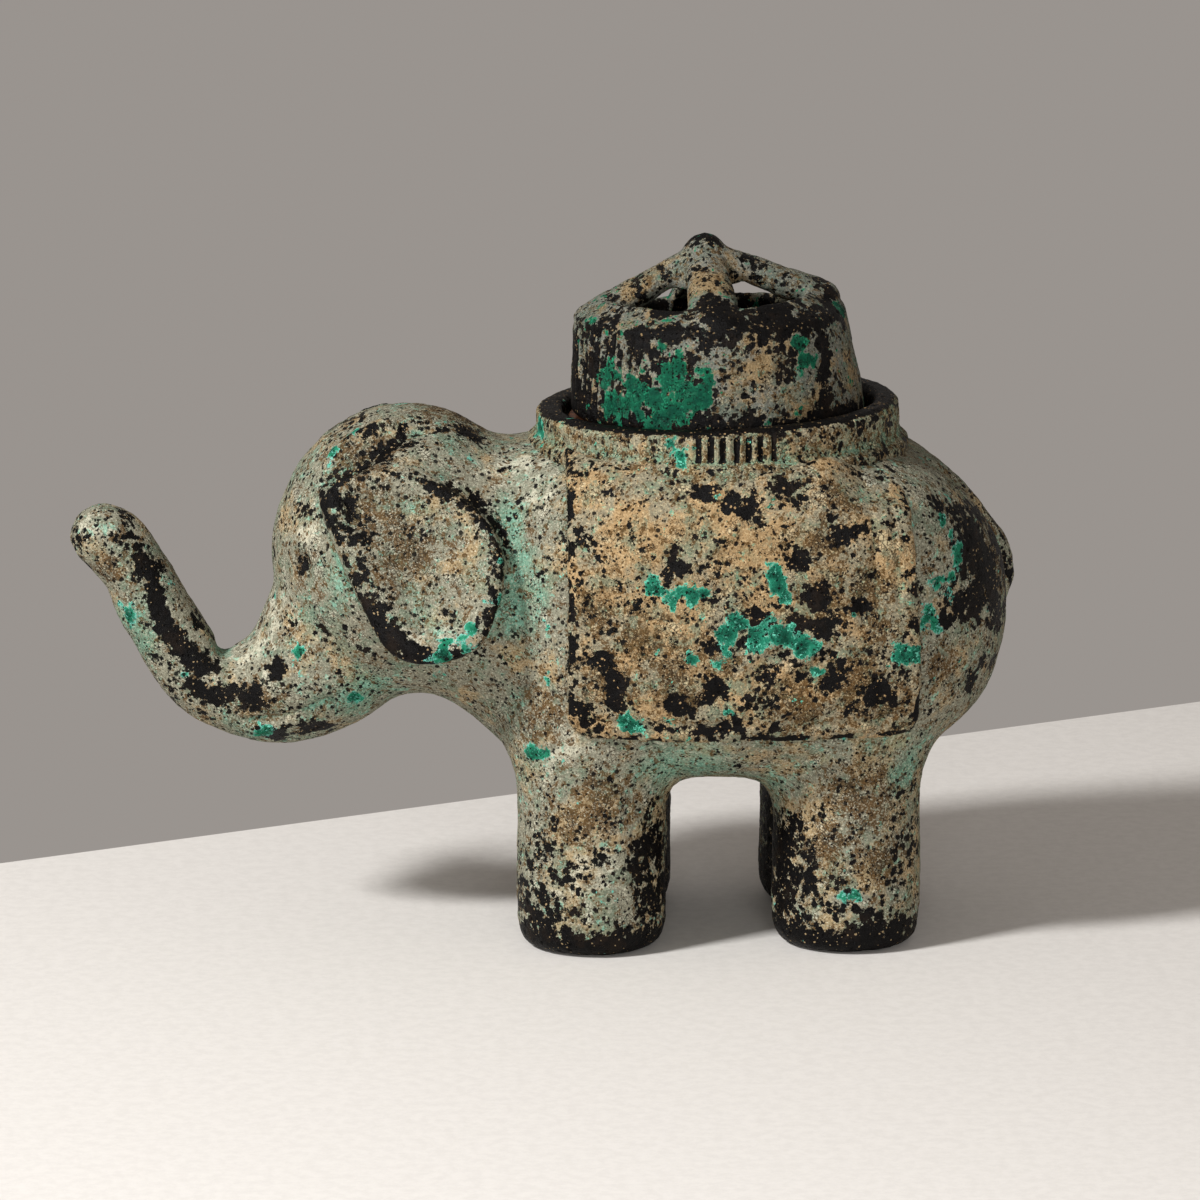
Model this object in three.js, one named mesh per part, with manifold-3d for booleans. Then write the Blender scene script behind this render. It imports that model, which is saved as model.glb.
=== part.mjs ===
// An elephant incense burner in patinated bronze, in millimetres, +Z up, head towards -X.
// The animal is a hollow bronze cast in sections that are brazed together: barrel, head, trunk, ears,
// legs, tail, two saddle panels and the collar of the vessel on its back. An ash liner hangs in the
// collar by its flange, and a pierced lid with four ribs and a finial stands on that flange.
// While it is built, x = 0 is the axis of the collar, y = 0 the animal's plane of symmetry and z = 0
// the surface that it stands on. The last lines move the origin to the middle of the footprint.
import * as THREE from "three";
import { mergeVertices } from "three/addons/utils/BufferGeometryUtils.js";
import Module from "manifold-3d";

const wasm = await Module();
wasm.setup();

// Clearances
const BRAZE_GAP = 0.3; // between two brazed castings
const SEAT_GAP = 0.3; // under a piece that only rests on its seat
const LID_PLAY = 1.8; // round the lid, inside the rebate of the collar
const LINER_PLAY = 0.9; // round the liner, inside the bore of the collar

// Legs
const LEG_RADIUS = 15.8;
const SOLE_ROUND = 3.2; // radius of the edge of the sole
const FRONT_LEG_BACK = 16.45; // neck joint back to the axis of the left front leg
const FRONT_RIGHT_SETBACK = 3.4; // the right front leg was set this much further back than the left
const REAR_LEG_AHEAD = 36.45; // back of the rump forward to the axes of the rear legs
const LEG_GAP = 4.4; // between a left leg and a right leg
const LEG_CORE_RADIUS = 9.5; // the hollow left by the casting core
const SOLE_THICKNESS = 5;
const HAUNCH_LENGTH = 39; // swelling where a leg runs into the barrel
const HAUNCH_WIDTH = 34;
const HAUNCH_DEPTH = 18; // from the middle of the haunch down to where it leaves the leg
const HAUNCH_RISE = 13.5; // belly up to the middle of the haunch

// Barrel
const BELLY_CLEARANCE = 34.5;
const BARREL_HEIGHT = 72.5;
const BARREL_WIDTH = 82;
const RUMP_REACH = 62.6; // collar's axis to the back of the rump
const FULLEST_BEHIND = 8; // fullest section, behind the collar's axis
const RUMP_ROUNDNESS = 2.4; // exponent of the side view of the rump, where 2 is an ellipse
const BACK_BOXINESS = 5; // exponents of the cross-section, above and below its widest line
const BELLY_BOXINESS = 3;
const NECK_BOXINESS = 2.3; // exponent at the neck and at the tip of the rump
const WALL = 4;

// Neck, at the joint between the barrel and the head
const NECK_REACH = 44; // collar's axis to the joint
const NECK_INSET = 12; // the neck is this much narrower than the barrel, on each side
const NECK_DROP = 2.2; // top of the barrel down to the top of the neck
const NECK_LIFT = 4; // belly up to the underside of the neck
const NECK_LENGTH = 22; // joint forward to the middle of the cranium

// Head
const CRANIUM_LIFT = 9.85; // middle of the neck joint up to the middle of the cranium
const CRANIUM_LENGTH = 56.6;
const CRANIUM_WIDTH = 57;
const CRANIUM_HEIGHT = 62.6;
const THROAT_DROP = 29.2; // middle of the cranium down to the throat
// Muzzle: distance ahead of the middle of the cranium and below it, and radius, from root to trunk
const MUZZLE = [
  [3, 8, 17.4],
  [11, 15.4, 18.2],
  [17, 22.3, 17],
  [26, 29, 13.2],
  [37, 31, 9.4],
];

// Trunk: its line in the side view, ahead of the end of the muzzle and above it
const TRUNK_BEND = [7.6, 4.6];
const TRUNK_RISE = [14.6, 15];
const TRUNK_TIP = [28.8, 40.6];
const TRUNK_RADIUS = 7.8;
const TRUNK_TIP_RADIUS = 7.7;

// Ears: a lobe that hangs from the side of the cranium
const EAR_LENGTH = 41;
const EAR_DROP = 40;
const EAR_THICKNESS = 6;
const EAR_EDGE_ROUND = 1.6;
const EAR_RISE = 21; // middle of the cranium up to the top of the ear
const EAR_BEHIND = 21.5; // middle of the cranium back to the back edge of the ear
const EAR_OUT = 25.5; // plane of symmetry to the inner face of the ear, at its middle
const EAR_LEAN = 20; // degrees that its top leans towards the plane of symmetry
const EAR_FLARE = 13; // degrees that its back edge stands away from the neck

// Tail
const TAIL_LENGTH = 17;
const TAIL_RADIUS = 3.4; // at its root
const TAIL_TIP_RADIUS = 2.55;
const TAIL_SUNK = 1.2; // its axis runs this far inside the rump
const TAIL_DROP = 21; // top of the barrel down to the root of the tail

// Saddle panels
const SADDLE_LENGTH = 70;
const SADDLE_BEHIND = 2; // middle of a panel, behind the collar's axis
const SADDLE_HEM_LIFT = 14; // belly up to the hem
const SADDLE_THICKNESS = 2.6;
const SADDLE_CORNER = 5;

// Collar of the vessel
const COLLAR_RADIUS = 38;
const COLLAR_RISE = 5.8; // top of the barrel up to the rim
const COLLAR_LIP = 5.3; // width of the rim
const COLLAR_EDGE = 1.2; // bevel on both edges of the rim
const COLLAR_LEAN = 2; // degrees that the rim falls towards the head, its ledge being level
const REBATE_DEPTH = 5; // rim down to the ledge that carries the liner
const LEDGE_WIDTH = 5.4;

// Ash liner and ash
const LINER_DEPTH = 40; // flange's top down to the outside of the floor
const LINER_WALL = 1.8;
const LINER_FLOOR_ROUND = 5;
const FLANGE_THICKNESS = 1.5;
const FLANGE_PLAY = 1.2; // round the flange, inside the rebate
const ASH_FILL = 22; // depth of the ash at the wall
const ASH_DISH = 2.5; // hollow in the middle of the ash, where the incense stands

// Lid
const LID_HEIGHT = 25.6; // foot to the top of the drum
const LID_LEAN = 2.6; // degrees that the top of the lid falls towards the head, its foot being level
const LID_WALL = 4;
const LID_TAPER = 2.6; // the drum is this much smaller in radius at the shoulder
const LID_FOOT_ROUND = 2;
const LID_SHOULDER_ROUND = 4.5;
const VENT_RADIUS = 21;
const RIB_TURN = -10; // degrees from the animal's own axes to the cross of the ribs
const RIB_HALF_WIDTH = 4.3;
const RIB_HALF_HEIGHT = 3.4;
const RIB_FOOT_SUNK = 3; // axis of a rib below the top of the drum, at its foot
const RIB_FOOT_FLARE = 1.35; // at its foot a rib is this many times wider, and as many times lower
const RIB_BULGE = 0.62; // share of its rise that a rib has gained with as much of its run still to go
const RIB_NAMES = ["lid_rib_right", "lid_rib_back", "lid_rib_left", "lid_rib_front"];
const FINIAL_RISE = 13; // top of the drum to the top of the finial
const FINIAL_RADIUS = 4.7; // of its domed top
const FINIAL_SKIRT_RADIUS = 7.4;
const FINIAL_SKIRT_HEIGHT = 2.2;
const FINIAL_DEPTH = 11;
const FINIAL_AHEAD = 3; // the crown sits ahead of the lid's axis
const RIB_CROWN_DROP = 7.4; // top of the finial down to the axis of the ribs there

// Facets
const BARREL_SIDES = 32;
const BARREL_STATIONS = 8; // on each side of the fullest section
const CORE_SIDES = 20; // of the hollows, which are plainer than the outside
const CORE_STATIONS = 5;
const HEAD_SIDES = 20;
const ROUND_SIDES = 32; // of the collar, the lid and the liner
const LEG_SIDES = 20;
const TRUNK_SIDES = 12;
const TRUNK_STATIONS = 11;
const ARC_STEPS = 3; // in a quarter of a circle

const bronzeCrust = new THREE.MeshStandardMaterial({ color: 0x8f8668, roughness: 0.85, metalness: 0.3 });
const bronzeDark = new THREE.MeshStandardMaterial({ color: 0x6d6854, roughness: 0.75, metalness: 0.5 });
const bronzeGreen = new THREE.MeshStandardMaterial({ color: 0x4d6f5c, roughness: 0.8, metalness: 0.4 });
const copperBrown = new THREE.MeshStandardMaterial({ color: 0x6a4a35, roughness: 0.5, metalness: 0.9 });
const paleAsh = new THREE.MeshStandardMaterial({ color: 0xb8b2a6, roughness: 1, metalness: 0 });

// Solids from geometry, and back again

function signedVolume(points, triangles) {
  const [a, b, c] = [new THREE.Vector3(), new THREE.Vector3(), new THREE.Vector3()];
  let total = 0;
  for (let i = 0; i < triangles.length; i += 3) {
    a.fromArray(points, triangles[i] * 3);
    b.fromArray(points, triangles[i + 1] * 3);
    c.fromArray(points, triangles[i + 2] * 3);
    total += a.dot(b.cross(c)) / 6;
  }
  return total;
}

function solidFrom(geometry) {
  const loose = geometry.index ? geometry.toNonIndexed() : geometry.clone();
  loose.deleteAttribute("normal");
  loose.deleteAttribute("uv");
  const merged = mergeVertices(loose, 1e-4);
  const points = merged.attributes.position.array;
  const corners = merged.index.array;
  const triangles = [];
  for (let i = 0; i < corners.length; i += 3) {
    const [a, b, c] = [corners[i], corners[i + 1], corners[i + 2]];
    if (a !== b && b !== c && c !== a) triangles.push(a, b, c);
  }
  if (signedVolume(points, triangles) < 0) triangles.reverse();
  const triVerts = new Uint32Array(triangles);
  return new wasm.Manifold(new wasm.Mesh({ numProp: 3, vertProperties: points, triVerts }));
}

function meshOf(name, solid, material, shape = (point) => point) {
  const { vertProperties, triVerts } = solid.getMesh();
  const points = [];
  for (let i = 0; i < vertProperties.length; i += 3) {
    points.push(shape(new THREE.Vector3().fromArray(vertProperties, i)));
  }
  const geometry = new THREE.BufferGeometry().setFromPoints(points);
  geometry.setIndex(new THREE.BufferAttribute(triVerts, 1));
  geometry.computeVertexNormals();
  const mesh = new THREE.Mesh(geometry, material);
  mesh.name = name;
  return mesh;
}

// Moves a point up or down so that a level face at the height high falls by degrees towards the head,
// while all that is at the height low, or under it, stays level
function leaning(degrees, low, high) {
  const slope = Math.tan(THREE.MathUtils.degToRad(degrees));
  return (point) => {
    const share = Math.max(0, (point.z - low) / (high - low));
    return point.setZ(point.z + slope * point.x * Math.min(1, share));
  };
}

// The same casting for the right-hand side of the animal
function mirrored(mesh, name) {
  const twin = new THREE.Mesh(mesh.geometry, mesh.material);
  twin.scale.y = -1;
  twin.name = name;
  return twin;
}

// A closed skin over rings of points that have the same count, with a flat or pointed cap on each end
function loft(rings) {
  const sides = rings[0].length;
  const points = rings.flat();
  const centreOf = (ring) => ring.reduce((sum, p) => sum.add(p), new THREE.Vector3()).divideScalar(sides);
  const first = points.push(centreOf(rings[0])) - 1;
  const last = points.push(centreOf(rings.at(-1))) - 1;
  const triangles = [];
  for (let s = 0; s < sides; s++) {
    const next = (s + 1) % sides;
    for (let r = 0; r + 1 < rings.length; r++) {
      const [near, far] = [r * sides, (r + 1) * sides];
      triangles.push(near + s, far + s, far + next, near + s, far + next, near + next);
    }
    const end = (rings.length - 1) * sides;
    triangles.push(first, s, next, last, end + next, end + s);
  }
  const geometry = new THREE.BufferGeometry().setFromPoints(points);
  geometry.setIndex(triangles);
  return solidFrom(geometry);
}

// Shares of the way along a curve, evenly spaced from its start to its end
const evenly = (steps) => Array.from({ length: steps + 1 }, (_, i) => i / steps);

// A tube along a curve in the x, z plane, with a ring at each of some shares of the way along it:
// sizeAt gives half the tube's width and half its height there
function tubeAlong(curve, shares, sides, sizeAt) {
  const rings = [];
  for (const share of shares) {
    const middle = curve.getPointAt(share);
    const forward = curve.getTangentAt(share);
    const sideways = new THREE.Vector3(0, 1, 0);
    const upward = new THREE.Vector3().crossVectors(forward, sideways).normalize();
    const [halfWidth, halfHeight] = sizeAt(share);
    const ring = [];
    for (let s = 0; s < sides; s++) {
      const angle = (2 * Math.PI * s) / sides;
      const across = sideways.clone().multiplyScalar(halfWidth * Math.cos(angle));
      ring.push(across.addScaledVector(upward, halfHeight * Math.sin(angle)).add(middle));
    }
    rings.push(ring);
  }
  return loft(rings);
}

function ellipsoid(centre, length, width, height, sides) {
  const geometry = new THREE.SphereGeometry(0.5, sides, Math.round(sides / 2));
  geometry.rotateX(Math.PI / 2).scale(length, width, height).translate(centre.x, centre.y, centre.z);
  return solidFrom(geometry);
}

function box(low, high) {
  const size = new THREE.Vector3().subVectors(high, low);
  const geometry = new THREE.BoxGeometry(size.x, size.y, size.z);
  const middle = new THREE.Vector3().addVectors(low, high).multiplyScalar(0.5);
  return solidFrom(geometry.translate(middle.x, middle.y, middle.z));
}

function cylinder(radius, low, high) {
  const geometry = new THREE.CylinderGeometry(radius, radius, high - low, ROUND_SIDES);
  return solidFrom(geometry.rotateX(Math.PI / 2).translate(0, 0, (low + high) / 2));
}

// A turned piece on the z axis, from [radius, height] points
function turned(profile, sides) {
  const points = profile.map(([radius, height]) => new THREE.Vector2(radius, height));
  return solidFrom(new THREE.LatheGeometry(points, sides).rotateX(Math.PI / 2));
}

// Points of an arc round [radius, height], from one angle to another in degrees
function arc([centreRadius, centreHeight], radius, from, to) {
  const points = [];
  for (let i = 0; i <= ARC_STEPS; i++) {
    const angle = THREE.MathUtils.degToRad(from + ((to - from) * i) / ARC_STEPS);
    points.push([centreRadius + radius * Math.cos(angle), centreHeight + radius * Math.sin(angle)]);
  }
  return points;
}

const ahead = (reach, height) => new THREE.Vector3(-reach, 0, height);
const mix = THREE.MathUtils.lerp;

// Barrel

// One section of the barrel or neck: a superellipse that is fuller above its widest line than below it
function sectionRing(x, { top, middle, bottom, halfWidth, upperPower, lowerPower }, sides) {
  const ring = [];
  for (let s = 0; s < sides; s++) {
    const angle = (2 * Math.PI * s) / sides;
    const [across, up] = [Math.cos(angle), Math.sin(angle)];
    const power = up >= 0 ? upperPower : lowerPower;
    const height = up >= 0 ? top - middle : bottom - middle;
    const y = halfWidth * Math.sign(across) * Math.abs(across) ** (2 / power);
    const z = middle + height * Math.abs(up) ** (2 / power);
    ring.push(new THREE.Vector3(x, y, z));
  }
  return ring;
}

const barrelTop = BELLY_CLEARANCE + BARREL_HEIGHT;
const barrelMiddle = BELLY_CLEARANCE + BARREL_HEIGHT / 2;
const neckTop = barrelTop - NECK_DROP;
const neckBottom = BELLY_CLEARANCE + NECK_LIFT;
const neckMiddle = (neckTop + neckBottom) / 2;
const neckHalfWidth = BARREL_WIDTH / 2 - NECK_INSET;
const collarTop = barrelTop + COLLAR_RISE;

// Section at a share of the way from the fullest section to the neck, grown outwards by grow
function foreSection(share, grow) {
  const ease = THREE.MathUtils.smoothstep(share, 0, 1);
  return {
    top: mix(barrelTop, neckTop, ease) + grow,
    middle: mix(barrelMiddle, neckMiddle, ease),
    bottom: mix(BELLY_CLEARANCE, neckBottom, ease ** 2) - grow,
    halfWidth: mix(BARREL_WIDTH / 2, neckHalfWidth, share ** 4) + grow,
    upperPower: mix(BACK_BOXINESS, NECK_BOXINESS, share ** 2),
    lowerPower: mix(BELLY_BOXINESS, NECK_BOXINESS, share ** 2),
  };
}

// Section of the rump where the side view has shrunk to a share of its full height
function rumpSection(fullness, share, grow) {
  return {
    top: barrelMiddle + (barrelTop - barrelMiddle + grow) * fullness,
    middle: barrelMiddle,
    bottom: barrelMiddle - (barrelMiddle - BELLY_CLEARANCE + grow) * fullness,
    halfWidth: (BARREL_WIDTH / 2 + grow) * fullness,
    upperPower: mix(BACK_BOXINESS, NECK_BOXINESS, share ** 2),
    lowerPower: mix(BELLY_BOXINESS, NECK_BOXINESS, share ** 2),
  };
}

// The whole barrel from the neck joint to the rump, grown outwards by grow, and past the joint by extend
function barrelSolid(grow, extend = 0, sides = BARREL_SIDES, stations = BARREL_STATIONS) {
  const rings = [];
  if (extend > 0) rings.push(sectionRing(-NECK_REACH - extend, foreSection(1, grow), sides));
  for (let i = stations; i > 0; i--) {
    const share = i / stations;
    rings.push(sectionRing(mix(FULLEST_BEHIND, -NECK_REACH, share), foreSection(share, grow), sides));
  }
  const rumpLength = RUMP_REACH + grow - FULLEST_BEHIND;
  for (let i = 0; i < stations; i++) {
    const angle = (Math.PI / 2) * (i / stations);
    const along = Math.sin(angle) ** (2 / RUMP_ROUNDNESS);
    const fullness = Math.cos(angle) ** (2 / RUMP_ROUNDNESS);
    rings.push(sectionRing(FULLEST_BEHIND + rumpLength * along, rumpSection(fullness, along, grow), sides));
  }
  const tip = new THREE.Vector3(FULLEST_BEHIND + rumpLength, 0, barrelMiddle);
  rings.push(rings.at(-1).map((point) => point.clone().setX(tip.x).lerp(tip, 0.9)));
  return loft(rings);
}

const rebateRadius = COLLAR_RADIUS - COLLAR_LIP;
const boreRadius = rebateRadius - LEDGE_WIDTH;
const ledgeHeight = collarTop - REBATE_DEPTH;
const barrelClearance = barrelSolid(BRAZE_GAP, BRAZE_GAP); // what the other castings are cut back from

function barrelShell() {
  const opening = cylinder(boreRadius, barrelMiddle, collarTop);
  const core = barrelSolid(-WALL, WALL, CORE_SIDES, CORE_STATIONS);
  return barrelSolid(0).subtract(core).subtract(opening);
}

// Head: cranium, neck and muzzle in one casting, open at the neck

const craniumAhead = NECK_REACH + NECK_LENGTH;
const craniumHeight = neckMiddle + CRANIUM_LIFT;
const craniumCentre = ahead(craniumAhead, craniumHeight);
const muzzleLine = new THREE.CatmullRomCurve3(
  MUZZLE.map(([forward, down]) => ahead(craniumAhead + forward, craniumHeight - down)),
);

function muzzleRadius(share) {
  const place = muzzleLine.getUtoTmapping(share) * (MUZZLE.length - 1);
  const before = Math.min(Math.floor(place), MUZZLE.length - 2);
  return mix(MUZZLE[before][2], MUZZLE[before + 1][2], place - before);
}

function neckSolid(grow, jointX, sides, steps) {
  const rings = [];
  const craniumTop = craniumHeight + CRANIUM_HEIGHT / 2;
  for (let i = 0; i <= steps; i++) {
    const share = i / steps;
    const rise = Math.sin((share * Math.PI) / 2);
    const section = {
      top: mix(neckTop, craniumTop, share ** 1.6) + grow,
      middle: mix(neckMiddle, craniumHeight, share),
      bottom: mix(neckBottom, craniumHeight - THROAT_DROP, rise) - grow,
      halfWidth: mix(neckHalfWidth, CRANIUM_WIDTH / 2, share) + grow,
      upperPower: NECK_BOXINESS,
      lowerPower: NECK_BOXINESS,
    };
    rings.push(sectionRing(mix(jointX, -craniumAhead, share), section, sides));
  }
  return loft(rings);
}

function craniumSolid(grow, sides) {
  const sizes = [CRANIUM_LENGTH, CRANIUM_WIDTH, CRANIUM_HEIGHT].map((size) => size + 2 * grow);
  return ellipsoid(craniumCentre, ...sizes, sides);
}

// The outside of the head, grown by grow, up to its flat end at jointX
function headSolid(grow, jointX) {
  const muzzle = tubeAlong(muzzleLine, evenly(9), HEAD_SIDES, (share) => {
    const radius = muzzleRadius(share) + grow;
    return [radius, radius];
  });
  const low = new THREE.Vector3(-2 * (craniumAhead + CRANIUM_LENGTH), -BARREL_WIDTH, -CRANIUM_HEIGHT);
  const high = new THREE.Vector3(jointX, BARREL_WIDTH, 2 * (craniumHeight + CRANIUM_HEIGHT));
  const whole = neckSolid(grow, jointX, BARREL_SIDES, 5).add(craniumSolid(grow, HEAD_SIDES)).add(muzzle);
  return whole.intersect(box(low, high));
}

const headClearance = headSolid(BRAZE_GAP, -NECK_REACH);

function headShell() {
  const core = neckSolid(-WALL, -NECK_REACH + WALL, CORE_SIDES, 3).add(craniumSolid(-WALL, CORE_SIDES));
  return headSolid(0, -NECK_REACH - BRAZE_GAP).subtract(core);
}

// Trunk

function trunkSolid() {
  const muzzleEnd = muzzleLine.getPointAt(1);
  const muzzleRun = muzzleLine.getTangentAt(1);
  const start = muzzleEnd.clone().addScaledVector(muzzleRun, BRAZE_GAP);
  const leave = start.clone().addScaledVector(muzzleRun, BRAZE_GAP);
  const stops = [TRUNK_BEND, TRUNK_RISE, TRUNK_TIP].map((offset) => ahead(...offset).add(muzzleEnd));
  const line = new THREE.CatmullRomCurve3([start, leave, ...stops]);
  const tipShare = TRUNK_TIP_RADIUS / line.getLength(); // the part of the line that the round tip takes up
  const rootRadius = muzzleRadius(1);
  const tipSteps = [0.5, 0.87, 0.99].map((share) => 1 - tipShare + tipShare * share);
  const shares = [...evenly(TRUNK_STATIONS).map((share) => share * (1 - tipShare)), ...tipSteps];
  const tube = tubeAlong(line, shares, TRUNK_SIDES, (share) => {
    const taper = mix(rootRadius, TRUNK_RADIUS, Math.min(1, share * 2.5));
    const radius = mix(taper, TRUNK_TIP_RADIUS, THREE.MathUtils.smoothstep(share, 0.6, 0.9));
    const intoTip = Math.max(0, (share - 1) / tipShare + 1);
    const rounding = Math.sqrt(1 - intoTip ** 2);
    return [rounding * radius, rounding * radius];
  });
  return tube.subtract(headClearance);
}

// Ears

// Outline of the ear as shares of its length, forwards from its back edge, and of its drop, down from its top
const EAR_OUTLINE = [
  [0.9, 0.04],
  [0.6, -0.01],
  [0.3, 0.1],
  [0.08, 0.3],
  [0.02, 0.56],
  [0.12, 0.82],
  [0.34, 0.98],
  [0.56, 0.97],
  [0.73, 0.72],
  [0.87, 0.42],
  [0.97, 0.16],
];

function earSolid() {
  const outline = EAR_OUTLINE.map(([forward, down]) => {
    return new THREE.Vector2((0.5 - forward) * EAR_LENGTH, (0.5 - down) * EAR_DROP);
  });
  const shape = new THREE.Shape(new THREE.SplineCurve([...outline, outline[0]]).getPoints(26).slice(0, -1));
  const flat = new THREE.ExtrudeGeometry(shape, {
    depth: EAR_THICKNESS - 2 * EAR_EDGE_ROUND,
    bevelThickness: EAR_EDGE_ROUND,
    bevelSize: EAR_EDGE_ROUND,
    bevelOffset: -EAR_EDGE_ROUND,
    bevelSegments: 1,
    steps: 1,
  });
  flat.translate(0, 0, EAR_EDGE_ROUND).rotateX(Math.PI / 2);
  flat.rotateX(THREE.MathUtils.degToRad(-EAR_LEAN)).rotateZ(THREE.MathUtils.degToRad(-EAR_FLARE));
  const hang = new THREE.Vector3(EAR_BEHIND - EAR_LENGTH / 2, -EAR_OUT, EAR_RISE - EAR_DROP / 2);
  flat.translate(...hang.add(craniumCentre).toArray());
  return solidFrom(flat).subtract(headClearance).subtract(barrelClearance);
}

// Saddle panels

// The left panel before the barrel and the collar are cut from it, grown by grow: a jacket on the barrel,
// trimmed in the side view to a square with round lower corners
function saddleBlock(grow) {
  const half = SADDLE_LENGTH / 2 + grow;
  const hem = BELLY_CLEARANCE + SADDLE_HEM_LIFT - grow;
  const trim = new THREE.Shape();
  trim.moveTo(-half, collarTop);
  trim.lineTo(-half, hem + SADDLE_CORNER);
  trim.quadraticCurveTo(-half, hem, -half + SADDLE_CORNER, hem);
  trim.lineTo(half - SADDLE_CORNER, hem);
  trim.quadraticCurveTo(half, hem, half, hem + SADDLE_CORNER);
  trim.lineTo(half, collarTop);
  const depth = BARREL_WIDTH;
  const cutter = new THREE.ExtrudeGeometry(trim, { depth, bevelEnabled: false, curveSegments: ARC_STEPS });
  const jacket = barrelSolid(BRAZE_GAP + SADDLE_THICKNESS + grow, WALL);
  return jacket.intersect(solidFrom(cutter.rotateX(Math.PI / 2).translate(SADDLE_BEHIND, 0, 0)));
}

const saddleClearance = saddleBlock(BRAZE_GAP);

function saddleSolid() {
  const collarClearance = cylinder(COLLAR_RADIUS + BRAZE_GAP, BELLY_CLEARANCE, 2 * collarTop);
  return saddleBlock(0).subtract(barrelClearance).subtract(collarClearance);
}

// Legs

// A left leg whose axis is at x: a hollow casting with a closed sole, cut to the curve of the barrel
function legSolid(x) {
  const y = -LEG_RADIUS - LEG_GAP / 2;
  const post = turned(
    [
      [0, 0],
      ...arc([LEG_RADIUS - SOLE_ROUND, SOLE_ROUND], SOLE_ROUND, -90, 0),
      [LEG_RADIUS, barrelMiddle],
      [0, barrelMiddle],
    ],
    LEG_SIDES,
  ).translate(x, y, 0);
  const core = turned(
    [
      [0, SOLE_THICKNESS],
      [LEG_CORE_RADIUS, SOLE_THICKNESS],
      [LEG_CORE_RADIUS, barrelMiddle],
      [0, barrelMiddle],
    ],
    LEG_SIDES,
  ).translate(x, y, 0);
  const haunchCentre = new THREE.Vector3(x, y, BELLY_CLEARANCE + HAUNCH_RISE);
  const haunch = ellipsoid(haunchCentre, HAUNCH_LENGTH, HAUNCH_WIDTH, HAUNCH_DEPTH * 2, CORE_SIDES);
  const leg = post.add(haunch).subtract(core);
  return leg.subtract(barrelClearance).subtract(headClearance).subtract(saddleClearance);
}

// Tail

function tailSolid() {
  const steps = 6;
  const points = [];
  for (let i = 0; i <= steps; i++) {
    const height = barrelTop - TAIL_DROP - (TAIL_LENGTH * i) / steps;
    const rise = Math.abs(height - barrelMiddle) / (BARREL_HEIGHT / 2);
    const along = (1 - rise ** RUMP_ROUNDNESS) ** (1 / RUMP_ROUNDNESS);
    points.push(ahead(-FULLEST_BEHIND - (RUMP_REACH - FULLEST_BEHIND) * along + TAIL_SUNK, height));
  }
  const line = new THREE.CatmullRomCurve3(points);
  const tube = tubeAlong(line, evenly(steps), 8, (share) => {
    const endRound = Math.sqrt(Math.max(0.02, 1 - Math.abs(2 * share - 1) ** 6));
    const radius = mix(TAIL_RADIUS, TAIL_TIP_RADIUS, share) * endRound;
    return [radius, radius];
  });
  return tube.subtract(barrelClearance);
}

// Collar

function collarSolid() {
  const ring = turned(
    [
      [boreRadius, barrelMiddle],
      [COLLAR_RADIUS, barrelMiddle],
      [COLLAR_RADIUS, collarTop - COLLAR_EDGE],
      [COLLAR_RADIUS - COLLAR_EDGE, collarTop],
      [rebateRadius + COLLAR_EDGE, collarTop],
      [rebateRadius, collarTop - COLLAR_EDGE],
      [rebateRadius, ledgeHeight],
      [boreRadius, ledgeHeight],
      [boreRadius, barrelMiddle],
    ],
    ROUND_SIDES,
  );
  return ring.subtract(barrelClearance).subtract(headClearance);
}

// Ash liner and ash

const linerRadius = boreRadius - LINER_PLAY;
const flangeRadius = rebateRadius - FLANGE_PLAY;
const flangeBottom = ledgeHeight + SEAT_GAP;
const flangeTop = flangeBottom + FLANGE_THICKNESS;
const linerBottom = flangeTop - LINER_DEPTH;

function linerSolid() {
  const inner = linerRadius - LINER_WALL;
  const floorTop = linerBottom + LINER_WALL;
  const cornerCentre = [linerRadius - LINER_FLOOR_ROUND, linerBottom + LINER_FLOOR_ROUND];
  return turned(
    [
      [0, linerBottom],
      ...arc(cornerCentre, LINER_FLOOR_ROUND, -90, 0),
      [linerRadius, flangeBottom],
      [flangeRadius, flangeBottom],
      [flangeRadius, flangeTop],
      [inner, flangeTop],
      ...arc(cornerCentre, LINER_FLOOR_ROUND - LINER_WALL, 0, -90),
      [0, floorTop],
    ],
    ROUND_SIDES,
  );
}

function ashSolid() {
  const radius = linerRadius - LINER_WALL - SEAT_GAP;
  const bottom = linerBottom + LINER_WALL + SEAT_GAP;
  const corner = LINER_FLOOR_ROUND - LINER_WALL;
  return turned(
    [
      [0, bottom],
      ...arc([radius - corner, bottom + corner], corner, -90, 0),
      [radius, bottom + ASH_FILL],
      [radius / 2, bottom + ASH_FILL - ASH_DISH * 0.7],
      [0, bottom + ASH_FILL - ASH_DISH],
    ],
    ROUND_SIDES,
  );
}

// Lid

const lidFoot = flangeTop + SEAT_GAP;
const lidTop = lidFoot + LID_HEIGHT;
const lidRadius = rebateRadius - LID_PLAY;
const shoulderRadius = lidRadius - LID_TAPER;

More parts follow.
